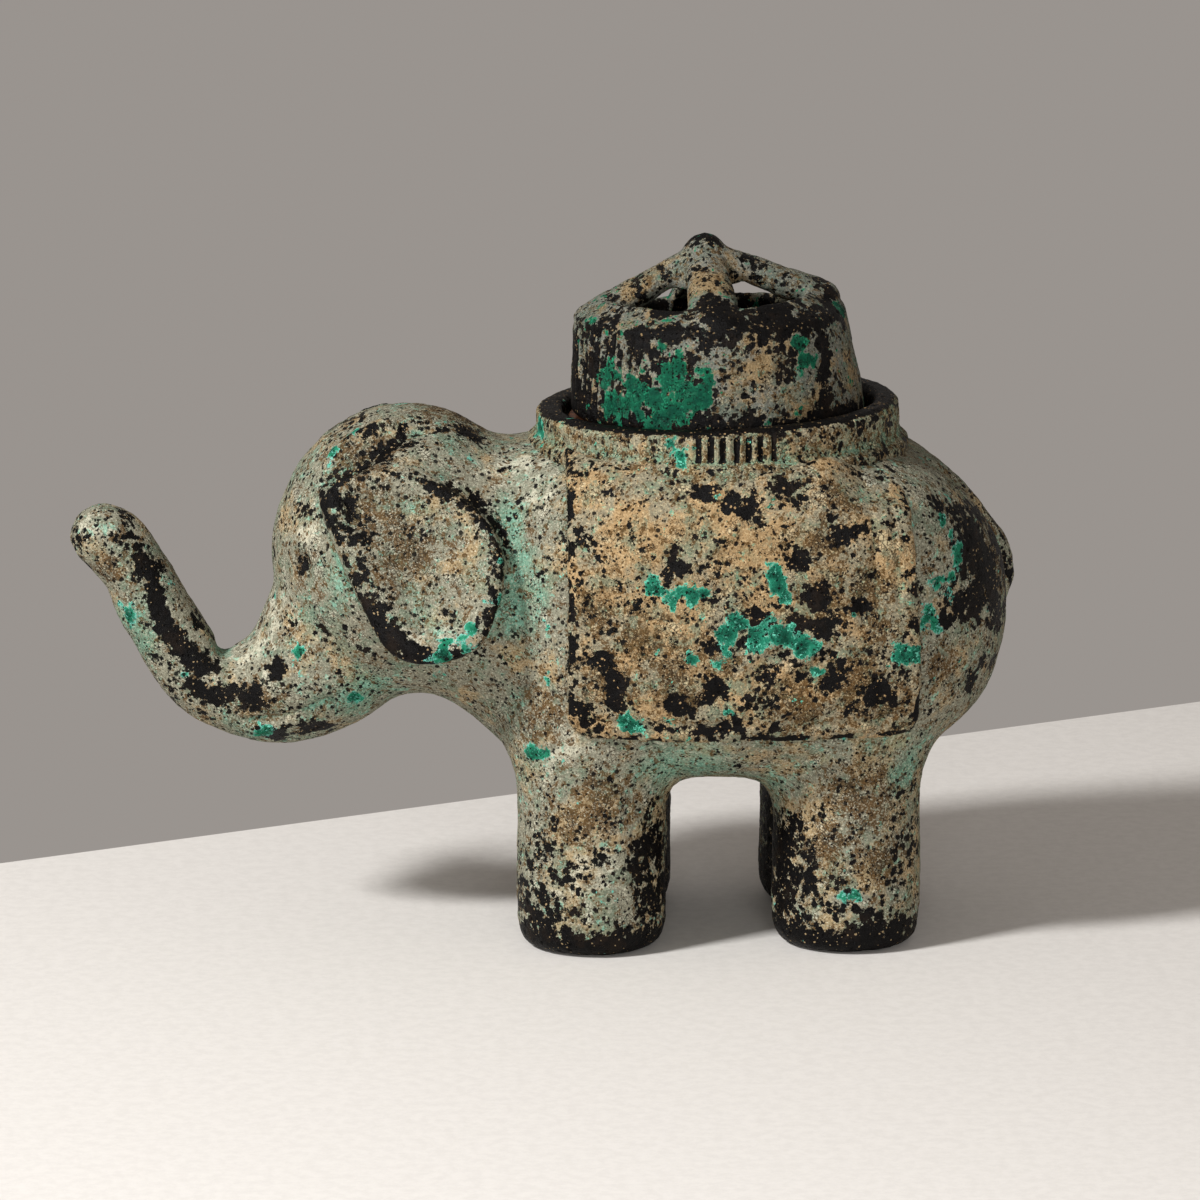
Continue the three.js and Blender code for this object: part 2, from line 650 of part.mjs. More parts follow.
// The drum of the lid, grown by grow on its outside, its top, its ceiling and the edge of its vent
function drumSolid(grow) {
  const round = LID_SHOULDER_ROUND;
  const innerRound = LID_SHOULDER_ROUND / 2;
  const ceiling = lidTop - LID_WALL;
  return turned(
    [
      [lidRadius - LID_WALL, lidFoot],
      ...arc([lidRadius + grow - LID_FOOT_ROUND, lidFoot + LID_FOOT_ROUND], LID_FOOT_ROUND, -90, 0),
      ...arc([shoulderRadius - round, lidTop - round], round + grow, 0, 90),
      [VENT_RADIUS - grow, lidTop + grow],
      [VENT_RADIUS - grow, ceiling - grow],
      [shoulderRadius - LID_WALL - innerRound, ceiling - grow],
      [shoulderRadius - LID_WALL, ceiling - grow - innerRound],
      [lidRadius - LID_WALL, lidFoot],
    ],
    ROUND_SIDES,
  );
}

const finialTop = lidTop + FINIAL_RISE;

// The finial, a domed knob on a skirt that the ribs run into, grown by grow
function finialSolid(grow) {
  const bottom = finialTop - FINIAL_DEPTH - grow;
  const profile = [
    [0, bottom],
    [FINIAL_SKIRT_RADIUS + grow, bottom],
    [FINIAL_SKIRT_RADIUS + grow, bottom + FINIAL_SKIRT_HEIGHT],
    ...arc([0, finialTop - FINIAL_RADIUS], FINIAL_RADIUS + grow, 0, 90),
  ];
  return turned(profile, HEAD_SIDES).translate(-FINIAL_AHEAD, 0, 0);
}

const drumClearance = drumSolid(BRAZE_GAP);
const finialClearance = finialSolid(BRAZE_GAP);

// One rib, from the shoulder of the drum at an angle round the lid up to the finial
function ribSolid(degrees) {
  const angle = THREE.MathUtils.degToRad(degrees);
  const footRadius = shoulderRadius - LID_SHOULDER_ROUND / 2;
  const footHeight = lidTop - RIB_FOOT_SUNK;
  const foot = new THREE.Vector3(footRadius * Math.cos(angle), footRadius * Math.sin(angle), footHeight);
  const crown = new THREE.Vector3(-FINIAL_AHEAD, 0, finialTop - RIB_CROWN_DROP);
  const run = Math.hypot(crown.x - foot.x, crown.y - foot.y);
  const line = new THREE.QuadraticBezierCurve3(
    new THREE.Vector3(run, 0, foot.z),
    new THREE.Vector3(run * RIB_BULGE, 0, mix(foot.z, crown.z, RIB_BULGE)),
    new THREE.Vector3(0, 0, crown.z),
  );
  const bar = tubeAlong(line, evenly(5), 8, (share) => {
    const flare = mix(RIB_FOOT_FLARE, 1, Math.min(1, 2.5 * share));
    return [RIB_HALF_WIDTH * flare, RIB_HALF_HEIGHT / flare];
  });
  const heading = THREE.MathUtils.radToDeg(Math.atan2(foot.y - crown.y, foot.x - crown.x));
  const placed = bar.rotate([0, 0, heading]).translate(crown.x, crown.y, 0);
  return placed.subtract(drumClearance).subtract(finialClearance);
}

// Assembly

const frontX = FRONT_LEG_BACK - NECK_REACH;
const rearX = RUMP_REACH - REAR_LEG_AHEAD;
const leftEar = meshOf("left_ear", earSolid(), bronzeDark);
const leftPanel = meshOf("left_saddle_panel", saddleSolid(), bronzeDark);
const rearLeft = meshOf("rear_left_leg", legSolid(rearX), bronzeCrust);
const collarLean = leaning(COLLAR_LEAN, ledgeHeight, collarTop);
const elephant = new THREE.Group();
elephant.add(
  meshOf("barrel_shell", barrelShell(), bronzeCrust),
  meshOf("head_shell", headShell(), bronzeCrust),
  meshOf("trunk", trunkSolid(), bronzeCrust),
  leftEar,
  mirrored(leftEar, "right_ear"),
  meshOf("front_left_leg", legSolid(frontX), bronzeCrust),
  mirrored(meshOf("", legSolid(frontX + FRONT_RIGHT_SETBACK), bronzeCrust), "front_right_leg"),
  rearLeft,
  mirrored(rearLeft, "rear_right_leg"),
  meshOf("tail", tailSolid(), bronzeCrust),
  leftPanel,
  mirrored(leftPanel, "right_saddle_panel"),
  meshOf("collar_ring", collarSolid(), bronzeDark, collarLean),
);

const liner = new THREE.Group();
liner.add(meshOf("ash_liner", linerSolid(), copperBrown), meshOf("ash_bed", ashSolid(), paleAsh));

const lidLean = leaning(LID_LEAN, lidFoot, lidTop);
const lid = new THREE.Group();
lid.add(meshOf("lid_drum", drumSolid(0), bronzeGreen, lidLean));
lid.add(meshOf("lid_finial", finialSolid(0), bronzeDark, lidLean));
RIB_NAMES.forEach((name, i) => {
  lid.add(meshOf(name, ribSolid(RIB_TURN + (360 * i) / RIB_NAMES.length), bronzeDark, lidLean));
});

const burner = new THREE.Group();
burner.add(elephant, liner, lid);
const bounds = new THREE.Box3().setFromObject(burner);
burner.position.x = -(bounds.min.x + bounds.max.x) / 2;

const part = new THREE.Group();
part.add(burner);

export default part;
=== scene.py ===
import math

import bpy
import numpy as np
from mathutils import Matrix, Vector, noise
from mathutils.bvhtree import BVHTree


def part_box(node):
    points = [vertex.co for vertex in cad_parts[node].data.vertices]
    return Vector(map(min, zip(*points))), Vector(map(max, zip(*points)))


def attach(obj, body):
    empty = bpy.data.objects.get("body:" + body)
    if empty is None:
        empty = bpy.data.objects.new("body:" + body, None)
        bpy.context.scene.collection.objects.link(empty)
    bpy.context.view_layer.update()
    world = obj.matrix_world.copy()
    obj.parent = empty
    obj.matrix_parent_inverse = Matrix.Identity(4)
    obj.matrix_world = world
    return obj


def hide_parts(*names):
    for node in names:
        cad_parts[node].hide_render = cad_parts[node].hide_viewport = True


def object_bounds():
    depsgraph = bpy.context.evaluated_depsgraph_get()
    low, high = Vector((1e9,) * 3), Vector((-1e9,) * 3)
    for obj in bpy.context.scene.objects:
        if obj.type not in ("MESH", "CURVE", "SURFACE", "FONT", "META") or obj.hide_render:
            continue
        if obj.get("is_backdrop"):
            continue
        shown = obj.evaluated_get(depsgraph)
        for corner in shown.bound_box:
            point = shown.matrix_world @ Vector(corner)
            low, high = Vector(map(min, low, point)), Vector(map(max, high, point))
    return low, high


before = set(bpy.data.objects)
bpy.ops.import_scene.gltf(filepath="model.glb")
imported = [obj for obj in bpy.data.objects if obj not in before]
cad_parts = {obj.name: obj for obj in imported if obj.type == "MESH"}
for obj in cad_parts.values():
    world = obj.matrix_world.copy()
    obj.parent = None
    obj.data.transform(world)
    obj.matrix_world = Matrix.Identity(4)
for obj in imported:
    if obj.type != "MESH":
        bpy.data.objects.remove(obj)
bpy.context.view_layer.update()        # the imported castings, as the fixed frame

# The animal
# A hollow bronze, cast in sections, barrel, head, ears, trunk, legs and tail, and brazed together.
# The seams were filed flush long before the crust grew over them, so the sections are shaped and
# corroded as one skin, which is then sawn apart where the castings meet. Sizes are in millimetres.
MM = 0.001
LEGS = "front_left_leg", "front_right_leg", "rear_left_leg", "rear_right_leg"
LEG_MIDDLES = 8.3, 62  # where the front and the rear legs stand along the body
SEAM_FILL = 0.4  # that each casting is grown by, so that its neighbours overlap it
SKIN_STEP = 1.35  # between the points of the skin, halved by its last subdivision
PLUG_RADIUS = 29.5  # closes the round opening in the back while the skin is made
BARREL_WALL = 4
GUSSET_FOOT = 11  # radius of the gussets at their foot, inside the legs
GUSSET_TOP = 21
GUSSET_HEIGHT = 14
GUSSET_MIDDLE = 37.5
GUSSET_SHIFT = 5
GUSSET_FLATNESS = 0.66
SKIN_DRESSED = 0.3  # taken off again all over, once the seams are closed
RUMP_DRESSED = 1.4  # and more of it in these places
BROW_DRESSED = 0.5
THROAT_DRESSED = 0.5
TRUNK_LIFT = 0.6, 0, 0.7
TIP_SHIFT = -1.5, 0, -0.8
TIP_SWELL = 0.5
TIP_HOLLOW = 1.1, 0, 0.6
UNDER_TIP = -92.5, 74  # along the body and up, where the trunk narrows
UNDER_TIP_REACH = 4.5
LEG_CUT_HEIGHT = 24  # above the floor, where the legs are sawn from the barrel
NECK_CUT_AHEAD = 3.6  # in front of the neck seam, where the head is sawn off clear of the front legs
TRUNK_CUT_AHEAD = 1


def choose(*pieces):
    """Selects these pieces and nothing else."""
    bpy.ops.object.select_all(action="DESELECT")
    for piece in pieces:
        piece.select_set(True)
    bpy.context.view_layer.objects.active = pieces[0]


def modify(piece, kind, **settings):
    """Adds a modifier to a piece and applies it."""
    choose(piece)
    modifier = piece.modifiers.new(kind.lower(), kind)
    for name, value in settings.items():
        setattr(modifier, name, value)
    bpy.ops.object.modifier_apply(modifier=modifier.name)


def edit(piece, operator, **settings):
    """Runs an operator on the whole of a piece in edit mode."""
    choose(piece)
    bpy.ops.object.mode_set(mode="EDIT")
    bpy.ops.mesh.select_all(action="SELECT")
    operator(**settings)
    bpy.ops.object.mode_set(mode="OBJECT")


def cast(name, *nodes):
    """One new piece from copies of some castings, with their corners merged."""
    copies = [bpy.data.objects.new(name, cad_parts[node].data.copy()) for node in nodes]
    for copy in copies:
        bpy.context.scene.collection.objects.link(copy)
    choose(*copies)
    bpy.ops.object.join()
    edit(copies[0], bpy.ops.mesh.remove_doubles, threshold=0.001 * MM)
    copies[0].data.materials.clear()
    return copies[0]


def loose_parts(piece):
    """Separates a piece into its loose parts and gives them all."""
    edit(piece, bpy.ops.mesh.separate, type="LOOSE")
    return list(bpy.context.selected_objects)


def places(piece):
    """The points of a piece in millimetres, one row each."""
    flat = np.empty(len(piece.data.vertices) * 3, np.float32)
    piece.data.vertices.foreach_get("co", flat)
    return flat.reshape(-1, 3).astype(float) / MM


def facings(piece):
    """The normals at the points of a piece."""
    flat = np.empty(len(piece.data.vertices) * 3, np.float32)
    piece.data.vertex_normals.foreach_get("vector", flat)
    return flat.reshape(-1, 3).astype(float)


def put(piece, points):
    """Moves the points of a piece to these places, in millimetres."""
    piece.data.vertices.foreach_set("co", (points * MM).astype(np.float32).ravel())
    piece.data.update()


def distance_to(points, *nodes):
    """How far points are from the surface of some castings, in millimetres."""
    found = []
    for node in nodes:
        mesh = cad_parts[node].data
        corners = [corner.co for corner in mesh.vertices]
        tree = BVHTree.FromPolygons(corners, [face.vertices for face in mesh.polygons])
        found.append([tree.find_nearest(Vector(point) * MM)[3] / MM for point in points])
    return np.min(found, axis=0)


def ramp(values, low, high):
    """0 below low, 1 above high and a smooth step between them."""
    share = np.clip((values - low) / (high - low), 0, 1)
    return share * share * (3 - 2 * share)


def fall(values, low, high):
    """1 below low, 0 above high and a smooth step between them."""
    return ramp(-values, -high, -low)


def bell(values, width):
    """1 at 0, falling off on both sides over a width."""
    return np.exp(-((values / width) ** 2))


def relax(piece, rounds, weights):
    """Smooths a piece with the Smooth modifier, each point by its weight."""
    group = piece.vertex_groups.new(name="soft")
    for index, weight in enumerate(weights):
        group.add([index], float(weight), "REPLACE")
    modify(piece, "SMOOTH", factor=0.5, iterations=rounds, vertex_group="soft")
    piece.vertex_groups.clear()


skin = cast("skin", "barrel_shell", "head_shell", "trunk", "left_ear", "right_ear", "tail", *LEGS)
modify(skin, "DISPLACE", strength=SEAM_FILL * MM, mid_level=0)
collar_low, collar_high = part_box("collar_ring")
collar_x = (collar_low.x + collar_high.x) / 2
axis = collar_x / MM  # of the vessel, along the body
barrel_low, barrel_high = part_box("barrel_shell")
bpy.ops.mesh.primitive_cylinder_add(
    vertices=64, radius=PLUG_RADIUS * MM, depth=2 * BARREL_WALL * MM,
    location=(collar_x, 0, barrel_high.z - BARREL_WALL * MM),
)
fillings = [bpy.context.object]
# Each leg runs out into the belly with a gusset, on its side towards the other leg
for leg in LEGS:
    leg_low, leg_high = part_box(leg)
    leg_middle = (leg_low + leg_high) / 2
    inward = 1 if leg_middle.x < collar_x else -1
    bpy.ops.mesh.primitive_cone_add(
        vertices=48, radius1=GUSSET_FOOT * MM, radius2=GUSSET_TOP * MM, depth=GUSSET_HEIGHT * MM,
        location=(leg_middle.x + inward * GUSSET_SHIFT * MM, leg_middle.y, GUSSET_MIDDLE * MM),
    )
    gusset = bpy.context.object
    gusset.scale.y = GUSSET_FLATNESS
    choose(gusset)
    bpy.ops.object.transform_apply()
    fillings.append(gusset)
choose(skin, *fillings)
bpy.ops.object.join()
modify(skin, "REMESH", mode="VOXEL", voxel_size=SKIN_STEP * MM)
# Only the outer skin is kept, and the closed hollows inside it go
shells = sorted(loose_parts(skin), key=lambda shell: shell.dimensions.length)
skin = shells.pop()
for shell in shells:
    bpy.data.objects.remove(shell)

# The facets of the castings are dressed off, and the belly arches, the chest and the throat are rounded:
# the ears and the tail keep their edges
points = places(skin)
ear_share = np.clip(1.8 - distance_to(points, "left_ear", "right_ear"), 0, 1)
tail_share = np.clip(1.8 - distance_to(points, "tail"), 0, 1)
tail_tip = tail_share * fall(points[:, 2], 76, 82)
relax(skin, 30, 1 - 0.93 * ear_share - 0.8 * tail_tip * (1 - ear_share))
x, y, z = places(skin).T
relax(skin, 50, ramp(z, 20, 28) * fall(z, 42, 52) * ramp(x, -22, -10))
# The skin goes back to the size of the castings, the rump and the brow are dressed down and the trunk lifted
points = places(skin)
facing = facings(skin)
x, y, z = points.T
rump = ramp(x, 74, 92) * ramp(z, 46, 60)
brow = fall(x, -32, -18) * ramp(z, 86, 96) * (1 - ear_share)
throat = fall(x, -16, -8) * ramp(x, -40, -32) * fall(z, 60, 66)
dressed = SKIN_DRESSED + RUMP_DRESSED * rump + BROW_DRESSED * brow + THROAT_DRESSED * throat
points = points - facing * dressed[:, None]
points = points + fall(points[:, 0], -76, -66)[:, None] * TRUNK_LIFT
x, y, z = points.T
tip = fall(x, -90, -80) * ramp(z, 75, 88)
points = points + tip[:, None] * (TIP_SWELL * facing + TIP_SHIFT)
x, y, z = points.T
from_hollow = np.hypot(x - UNDER_TIP[0], z - UNDER_TIP[1])
points = points + bell(from_hollow, UNDER_TIP_REACH)[:, None] * TIP_HOLLOW
put(skin, points)
modify(skin, "SUBSURF", levels=1, render_levels=1)


def away_from(points, line):
    """How far points are from a line through some places, in millimetres."""
    nearest = np.full(len(points), np.inf)
    for start, end in zip(line, line[1:]):
        start, run = np.array(start), np.subtract(end, start)
        share = np.clip((points - start) @ run / (run @ run), 0, 1)
        nearest = np.minimum(nearest, np.linalg.norm(points - start - share[:, None] * run, axis=1))
    return nearest


def tool(points, facing, line, height, width):
    """Raises a ridge along a line of places, or with a height under 0 cuts a groove."""
    return points + facing * (height * bell(away_from(points, line), width))[:, None]


def both_sides(line):
    """A line on the left side of the animal, and its twin on the right."""
    return line, [(x, -y, z) for x, y, z in line]


# Modelled detail of the head: the dished ears with their rolled rims, the fold from each ear over the
# crown with a hollow behind it, the eyes and the line of the mouth over the lower lip
EAR_EDGE = [
    (-46.5, -21, 96), (-43.1, -26.3, 89.2), (-39.4, -30.9, 79.3), (-34.4, -35.8, 69.3), (-29, -38, 64.5),
    (-22, -38, 64), (-17, -37.5, 66), (-13, -35.5, 72.5), (-9.8, -31.5, 80.5), (-9.9, -28.5, 86.5),
    (-12, -26, 93.2), (-17, -23.5, 97.3), (-21.8, -22.3, 99.3),
]
EAR_CORNER = -17, -37, 67  # the lower back corner, which hangs out
EAR_HANG = 1.6, 0, -1.8
EAR_DISH = 2.4
EAR_RIM = 0.7
EAR_FOLD = [
    (-34, -9, 110.6), (-41.5, -10.5, 107), (-48.9, -13, 100.8), (-46.8, -20, 95), (-43.1, -26.3, 89.2),
]
EAR_FOLD_HOLLOW = [(-28, -12, 109.5), (-37.5, -15.5, 104.5), (-44.2, -18.5, 98.5), (-41.8, -25, 92.5)]
EYE = [(-53, -17.2, 82.8), (-51, -18, 81.8)]
BROW = [(-55, -15, 86), (-50, -19.5, 86.2)]
MOUTH = [(-63, -9.5, 46.9), (-57, -12.2, 47.7), (-51, -13.7, 49.6), (-46.5, -14.2, 52)]
LOWER_LIP = [(-63, -8.5, 44.4), (-57, -11, 45), (-51, -12.5, 46.8)]
TRUNK_NOTCH = [(-68.4, -9, 61.4), (-68.4, 9, 61.4)]
TRUNK_SEAM = [(-68.6, -5, 61.5), (-68, -8, 58), (-67.6, -9, 55.5)]
points = places(skin)
facing = facings(skin)
x, y, z = points.T
left_points = np.column_stack([x, -np.abs(y), z])
ear_share = np.clip(2.2 - distance_to(points, "left_ear", "right_ear"), 0, 1)
hang = ear_share * bell(np.linalg.norm(left_points - EAR_CORNER, axis=1), 9)
points = points + hang[:, None] * EAR_HANG
outward = np.clip(facing[:, 1] * np.sign(y) * 2 - 0.4, 0, 1)
on_lobe = ear_share * outward * fall(points[:, 2], 95, 102)
from_rim = away_from(left_points, EAR_EDGE)
dish = -EAR_DISH * ramp(from_rim, 2.5, 9) + EAR_RIM * bell(from_rim - 1.8, 1.5)
points = points + facing * (dish * on_lobe)[:, None]
for line, height, width in (
    (EAR_FOLD, 1.1, 1.4), (EAR_FOLD_HOLLOW, -1.9, 2.8), (EYE, -1.3, 1.7), (BROW, 0.5, 1.6),
    (MOUTH, -1.1, 1.1), (LOWER_LIP, 0.7, 1.7), (TRUNK_NOTCH, -1.1, 2), (TRUNK_SEAM, -0.6, 0.9),
):
    for side in both_sides(line):
        points = tool(points, facing, side, height, width)
# The tail lies along the rump and narrows towards its tip, with a hollow on each side of it
TAIL_RISE = 0.5
TAIL_HOLLOW = 1.9
TAIL_TIP = 75
TAIL_HALF_WIDTH = 2.6  # at the tip
TAIL_WIDENING = 0.05  # for each millimetre above it
x, y, z = points.T
on_rump = ramp(x, 76, 84) * ramp(z, 69, 75) * fall(z, 99, 104)
from_tail = np.abs(y) - TAIL_HALF_WIDTH - TAIL_WIDENING * (z - TAIL_TIP)
tail_hollows = on_rump * bell(from_tail - 1.6, 1.5)
raised = TAIL_RISE * on_rump * fall(from_tail, -1, 0.5) - TAIL_HOLLOW * tail_hollows
points = points + facing * raised[:, None]
points[:, 2] = np.maximum(points[:, 2], 0)
put(skin, points)


def cloud(points, size, octaves, seed):
    """Cloudy noise at some points, from about -1 to 1, with lumps of a size in millimetres."""
    start = Vector((17.3, 5.1, 11.7)) * seed
    return np.array([noise.fractal(Vector(p) / size + start, 0.8, 2, octaves) for p in points])


def pits(points, spacing, seed):
    """Corrosion pits of mixed sizes at some points, from 0 outside them to 1 at their deepest."""
    start = Vector((3.7, 19.1, 7.9)) * seed
    depths = []
    for point in points:
        distances, centres = noise.voronoi(Vector(point) / spacing + start)
        size = 0.14 + 0.38 * abs(noise.cell(centres[0] * 31.7)) ** 3
        depths.append(max(0, 1 - distances[0] / size))
    return np.array(depths)


def edges_of(piece, points, facing, rounds):
    """How proud of its surroundings each point is, in millimetres: over 0 on edges, under 0 in corners."""
    ends = np.empty(len(piece.data.edges) * 2, np.int32)
    piece.data.edges.foreach_get("vertices", ends)
    starts, ends = ends.reshape(-1, 2).T
    count = np.bincount(starts, minlength=len(points)) + np.bincount(ends, minlength=len(points))
    smooth = points.copy()
    for _ in range(rounds):
        for column in range(3):
            values = smooth[:, column]
            total = np.bincount(starts, values[ends], len(points))
            total += np.bincount(ends, values[starts], len(points))
            smooth[:, column] = total / np.maximum(count, 1)
    return np.einsum("ij,ij->i", points - smooth, facing)


def dabbed(points, dabs):
    """How strongly dabs, each a place and a radius in millimetres, cover some points, from 0 to 1."""
    cover = np.zeros(len(points))
    for *place, radius in dabs:
        cover = np.maximum(cover, bell(np.linalg.norm(points - place, axis=1), radius))
    return cover


def corrode(
    piece, seed, crusted, flakes=0.42, rubbed=0.5, bare_and_shade=0, green=0, tan=0, haze_and_painted_light=0, stain_and_shade=0, chalk_and_highlight=0, relief=1
):
    """Gives a bronze its crust, flaked patches and pits, and stores where they are for its patina, with the
    painted shade, shadow and light that some of its tones carry.
    """
    points = places(piece)
    facing = facings(piece)
    proud = edges_of(piece, points, facing, 24)
    broad = cloud(points, 11, 4, seed)
    flaky = cloud(points, 3.4, 4, seed + 1)
    cover = crusted + 0.22 * broad + flakes * flaky - rubbed * np.clip(proud, 0, 1) - bare_and_shade
    crust = ramp(cover, 0.25, 0.75)
    holes = pits(points, 1.5, seed + 2)
    grit = cloud(points, 1.3, 2, seed + 3)
    lumps = cloud(points, 7, 3, seed + 4)
    height = 0.22 * crust + 0.14 * lumps + 0.07 * grit - 0.4 * holes
    points = points + facing * (relief * height)[:, None]
    points[:, 2] = np.maximum(points[:, 2], 0)
    put(piece, points)
    tones = {
        "crust": cover,
        "pit": holes,
        "green": green + 0.45 * flaky + 0.2 * broad,
        "tan": tan + 0.5 * cloud(points, 8, 3, seed + 5),
        "stain_and_shade": stain_and_shade + np.zeros(len(points)),
        "chalk_and_highlight": chalk_and_highlight + np.zeros(len(points)),
        "haze_and_painted_light": haze_and_painted_light + np.clip(-proud, 0, 0.6) + 0.3 * cloud(points, 13, 3, seed + 6),
    }
    for name, values in tones.items():
        tone = piece.data.attributes.new(name, "FLOAT", "POINT")
        tone.data.foreach_set("value", values.astype(np.float32))


# Patches of the left side, each a place and a radius, and some like them on the side that isn't seen
GREEN_DABS = [
    (-4, -30, 44, 3.4), (61, -33.6, 12.5, 3.2), (77, -35, 74, 2.6), (78.8, -34.2, 71, 2.6),
    (80.7, -29.7, 92.5, 1.8), (83, -29.4, 89.3, 2), (84.5, -29, 86.8, 2.2), (84.5, -29.8, 84.5, 2.2),
    (85, -29.8, 82, 2), (82.9, -31.3, 80.4, 2), (79.6, -33.4, 79.4, 2.2), (81.4, -32.4, 77, 2),
    (-17.6, -38, 72.5, 2.4), (-19.5, -38, 69, 2.6), (-23.4, -37.9, 66.5, 2.6), (-12, -35, 76, 2.6),
    (-11.3, -33.6, 85.4, 1.8), (-13.5, -31.9, 90.7, 1.6), (-41, -14, 52.5, 2.8), (-60, -9, 44.5, 2.6),
    (-88, -5, 68.5, 2.6), (-76, -8, 56, 2.4), (-53, -14.8, 62.5, 2.2), (-1, -31.5, 60, 2),
    (-40, -9, 108, 2), (-45, -11.5, 104, 2), (-38, -27, 87, 2), (10, 33, 30, 5), (66, 33, 26, 4),
    (88, 18, 66, 4), (-30, 34, 74, 5), (-52, 16, 60, 3), (92, 4, 90, 3), (-84, 7, 66, 3),
]
# Patches flaked to dark metal; the many on the rump also paint the shade that falls on it, away from the key
# light
BARE_AND_SHADE_DABS = [
    (81, -28, 95, 2.6), (84, -23.5, 95, 3.5), (88, -22, 90.5, 5), (87.5, -26.5, 84, 6.5),
    (90.5, -24, 78.5, 7), (92.5, -20.5, 80, 7), (93, -20.5, 74.5, 6), (85, -30, 75, 4.5),
    (89, -26.5, 72.5, 4.5), (82, -32.4, 71.7, 2.6), (94, -17.7, 70, 4), (96, -8, 74, 6), (95, -12, 86, 6),
    (92, -14, 92, 5), (94, -14.7, 58.6, 2.6), (91, -22, 60.3, 2.6), (88, -24, 56, 2.6),
    (-37, -33, 74, 3.6), (-34, -36, 69.5, 3.6), (-29, -37, 66, 4), (-24, -37.5, 64.5, 3),
    (-22, -24, 98.5, 2.6), (-16, -24, 95.5, 3), (-12, -26, 91.5, 2.6), (-11, -28.5, 86, 2.4),
    (-47.3, -18, 68, 2.2), (-57, -12.5, 58.5, 2.6), (-73, -8.8, 53, 3.4), (-68.8, -9, 52, 3.4),
    (-64, -10.6, 51.5, 2.8), (-58, -8, 43.5, 3), (-49, -10, 44.5, 3), (-17, -8, 108, 3.4),
    (-74.4, -4, 66.6, 2.4), (-22, -9, 108, 2.6), (-52.4, -17.4, 82.3, 2.3), (-40, 12, 106, 7),
    (-30, 36, 68, 6), (90, 16, 70, 8),
]
# Teal haze, partly painted light: the dabs just behind the ear paint the ear's shadow on the neck, and those
# on the belly under the hem paint bounce light from the table
HAZE_SHADOW_AND_BOUNCE_DABS = [
    (-6.5, -30.5, 85, 5), (-8, -30, 74, 5.5), (-3, -32.3, 79, 4), (-8, -26, 93, 4.5),
    (24, -30.5, 42, 6.5), (30, -30.5, 42, 6.5), (-87.5, -6, 68, 5.5), (-85.5, -6, 63, 4.5),
    (-42, -22, 78, 6), (-50, -17, 70, 6), (-22, -12, 104, 6), (-40, -14, 54, 6), (20, -33, 28, 4),
    (74, -32, 36, 5), (30, 30, 41, 10), (-5, 31, 82, 12), (95, 0, 60, 9),
]
# Brown stains; those on the rump also paint the shade that falls on it, away from the key light
STAIN_AND_SHADE_DABS = [
    (-31, -30, 87, 8), (-38, -24, 94, 6), (-39, -17, 104, 7), (-52, -17.4, 82, 3), (9, -33.6, 34, 7),
    (4, -33, 28, 5), (64, -33, 34, 7), (56, -33.5, 24, 5), (68, -33, 20, 5), (-2, -30, 52, 6),
    (80, -33, 62, 5), (94, -17, 82, 7), (96, -9, 80, 6), (-62, -11, 52, 4), (-92, -6, 80, 3),
    (-26, 34, 82, 9), (12, 33, 36, 8), (90, 0, 50, 10), (-20, 0, 110, 8),
]
# Pale chalky crust, partly a painted highlight where the light falls brightest, as on the face above the root
# of the trunk
CHALK_AND_HIGHLIGHT_DABS = [
    (-62, -7, 62, 7), (-58, -9, 70, 6), (-26, -37, 69, 5), (-52, -17, 89, 3), (-94, -5, 87, 4),
    (2, -32, 45, 5), (-6, -17, 101.4, 7), (-2.6, -24.8, 98, 4), (-56, 10, 66, 8), (27, -30.5, 43, 8),
    (8, -34, 20, 7), (20, 32, 50, 8),
]
TAN_DABS = [
    (85, -29, 58, 6), (82, -32, 63, 5), (90, -25, 65.5, 4), (-2, -33, 60, 6), (-18, -34, 86, 6),
    (-52, -16, 92, 5), (84, 28, 60, 9),
]
TRUNK_BAND = [
    (-71.2, -6.8, 58.8), (-75.3, -7.6, 60.3), (-80.1, -7.4, 66.1), (-83.3, -7, 74.1), (-85.2, -5.8, 81.5),
]
points = places(skin)
x, y, z = points.T
soles = fall(z, 0.5, 11)
inner_legs = fall(z, 20, 34) * fall(np.abs(y), 6, 15)
front_legs = x * MM < collar_x
leg_middle = np.where(front_legs, *LEG_MIDDLES)
towards_arch = (x - leg_middle) * np.sign(axis - leg_middle)
leg_sides = fall(z, 22, 38) * ramp(towards_arch, 4, 12)
leg_fronts = front_legs * fall(z, 12, 34) * ramp(-towards_arch, 2, 12)
legs_low = fall(z, 24, 44)
trunk_band = bell(away_from(points, TRUNK_BAND), 2.8)
from_folds = np.minimum(*(away_from(points, line) for line in both_sides(EAR_FOLD_HOLLOW)))
ear_fold_wear_and_shade = bell(from_folds, 4.6)
# Crust taken off to dark metal: on the soles, low on the inner faces of the legs, on their sides towards the
# belly arch, on the fronts of the front legs, a little low on all the legs, along a band on the trunk, in the
# hollows behind the ear folds, where the dark is partly painted shade, in the hollows beside the tail and at
# the listed dabs
bare_and_shade = np.maximum.reduce([
    0.8 * soles, 0.6 * inner_legs, 0.5 * leg_sides, 0.36 * leg_fronts, 0.12 * legs_low, 0.6 * trunk_band,
    0.45 * ear_fold_wear_and_shade, 0.4 * tail_hollows, 0.75 * dabbed(points, BARE_AND_SHADE_DABS),
])
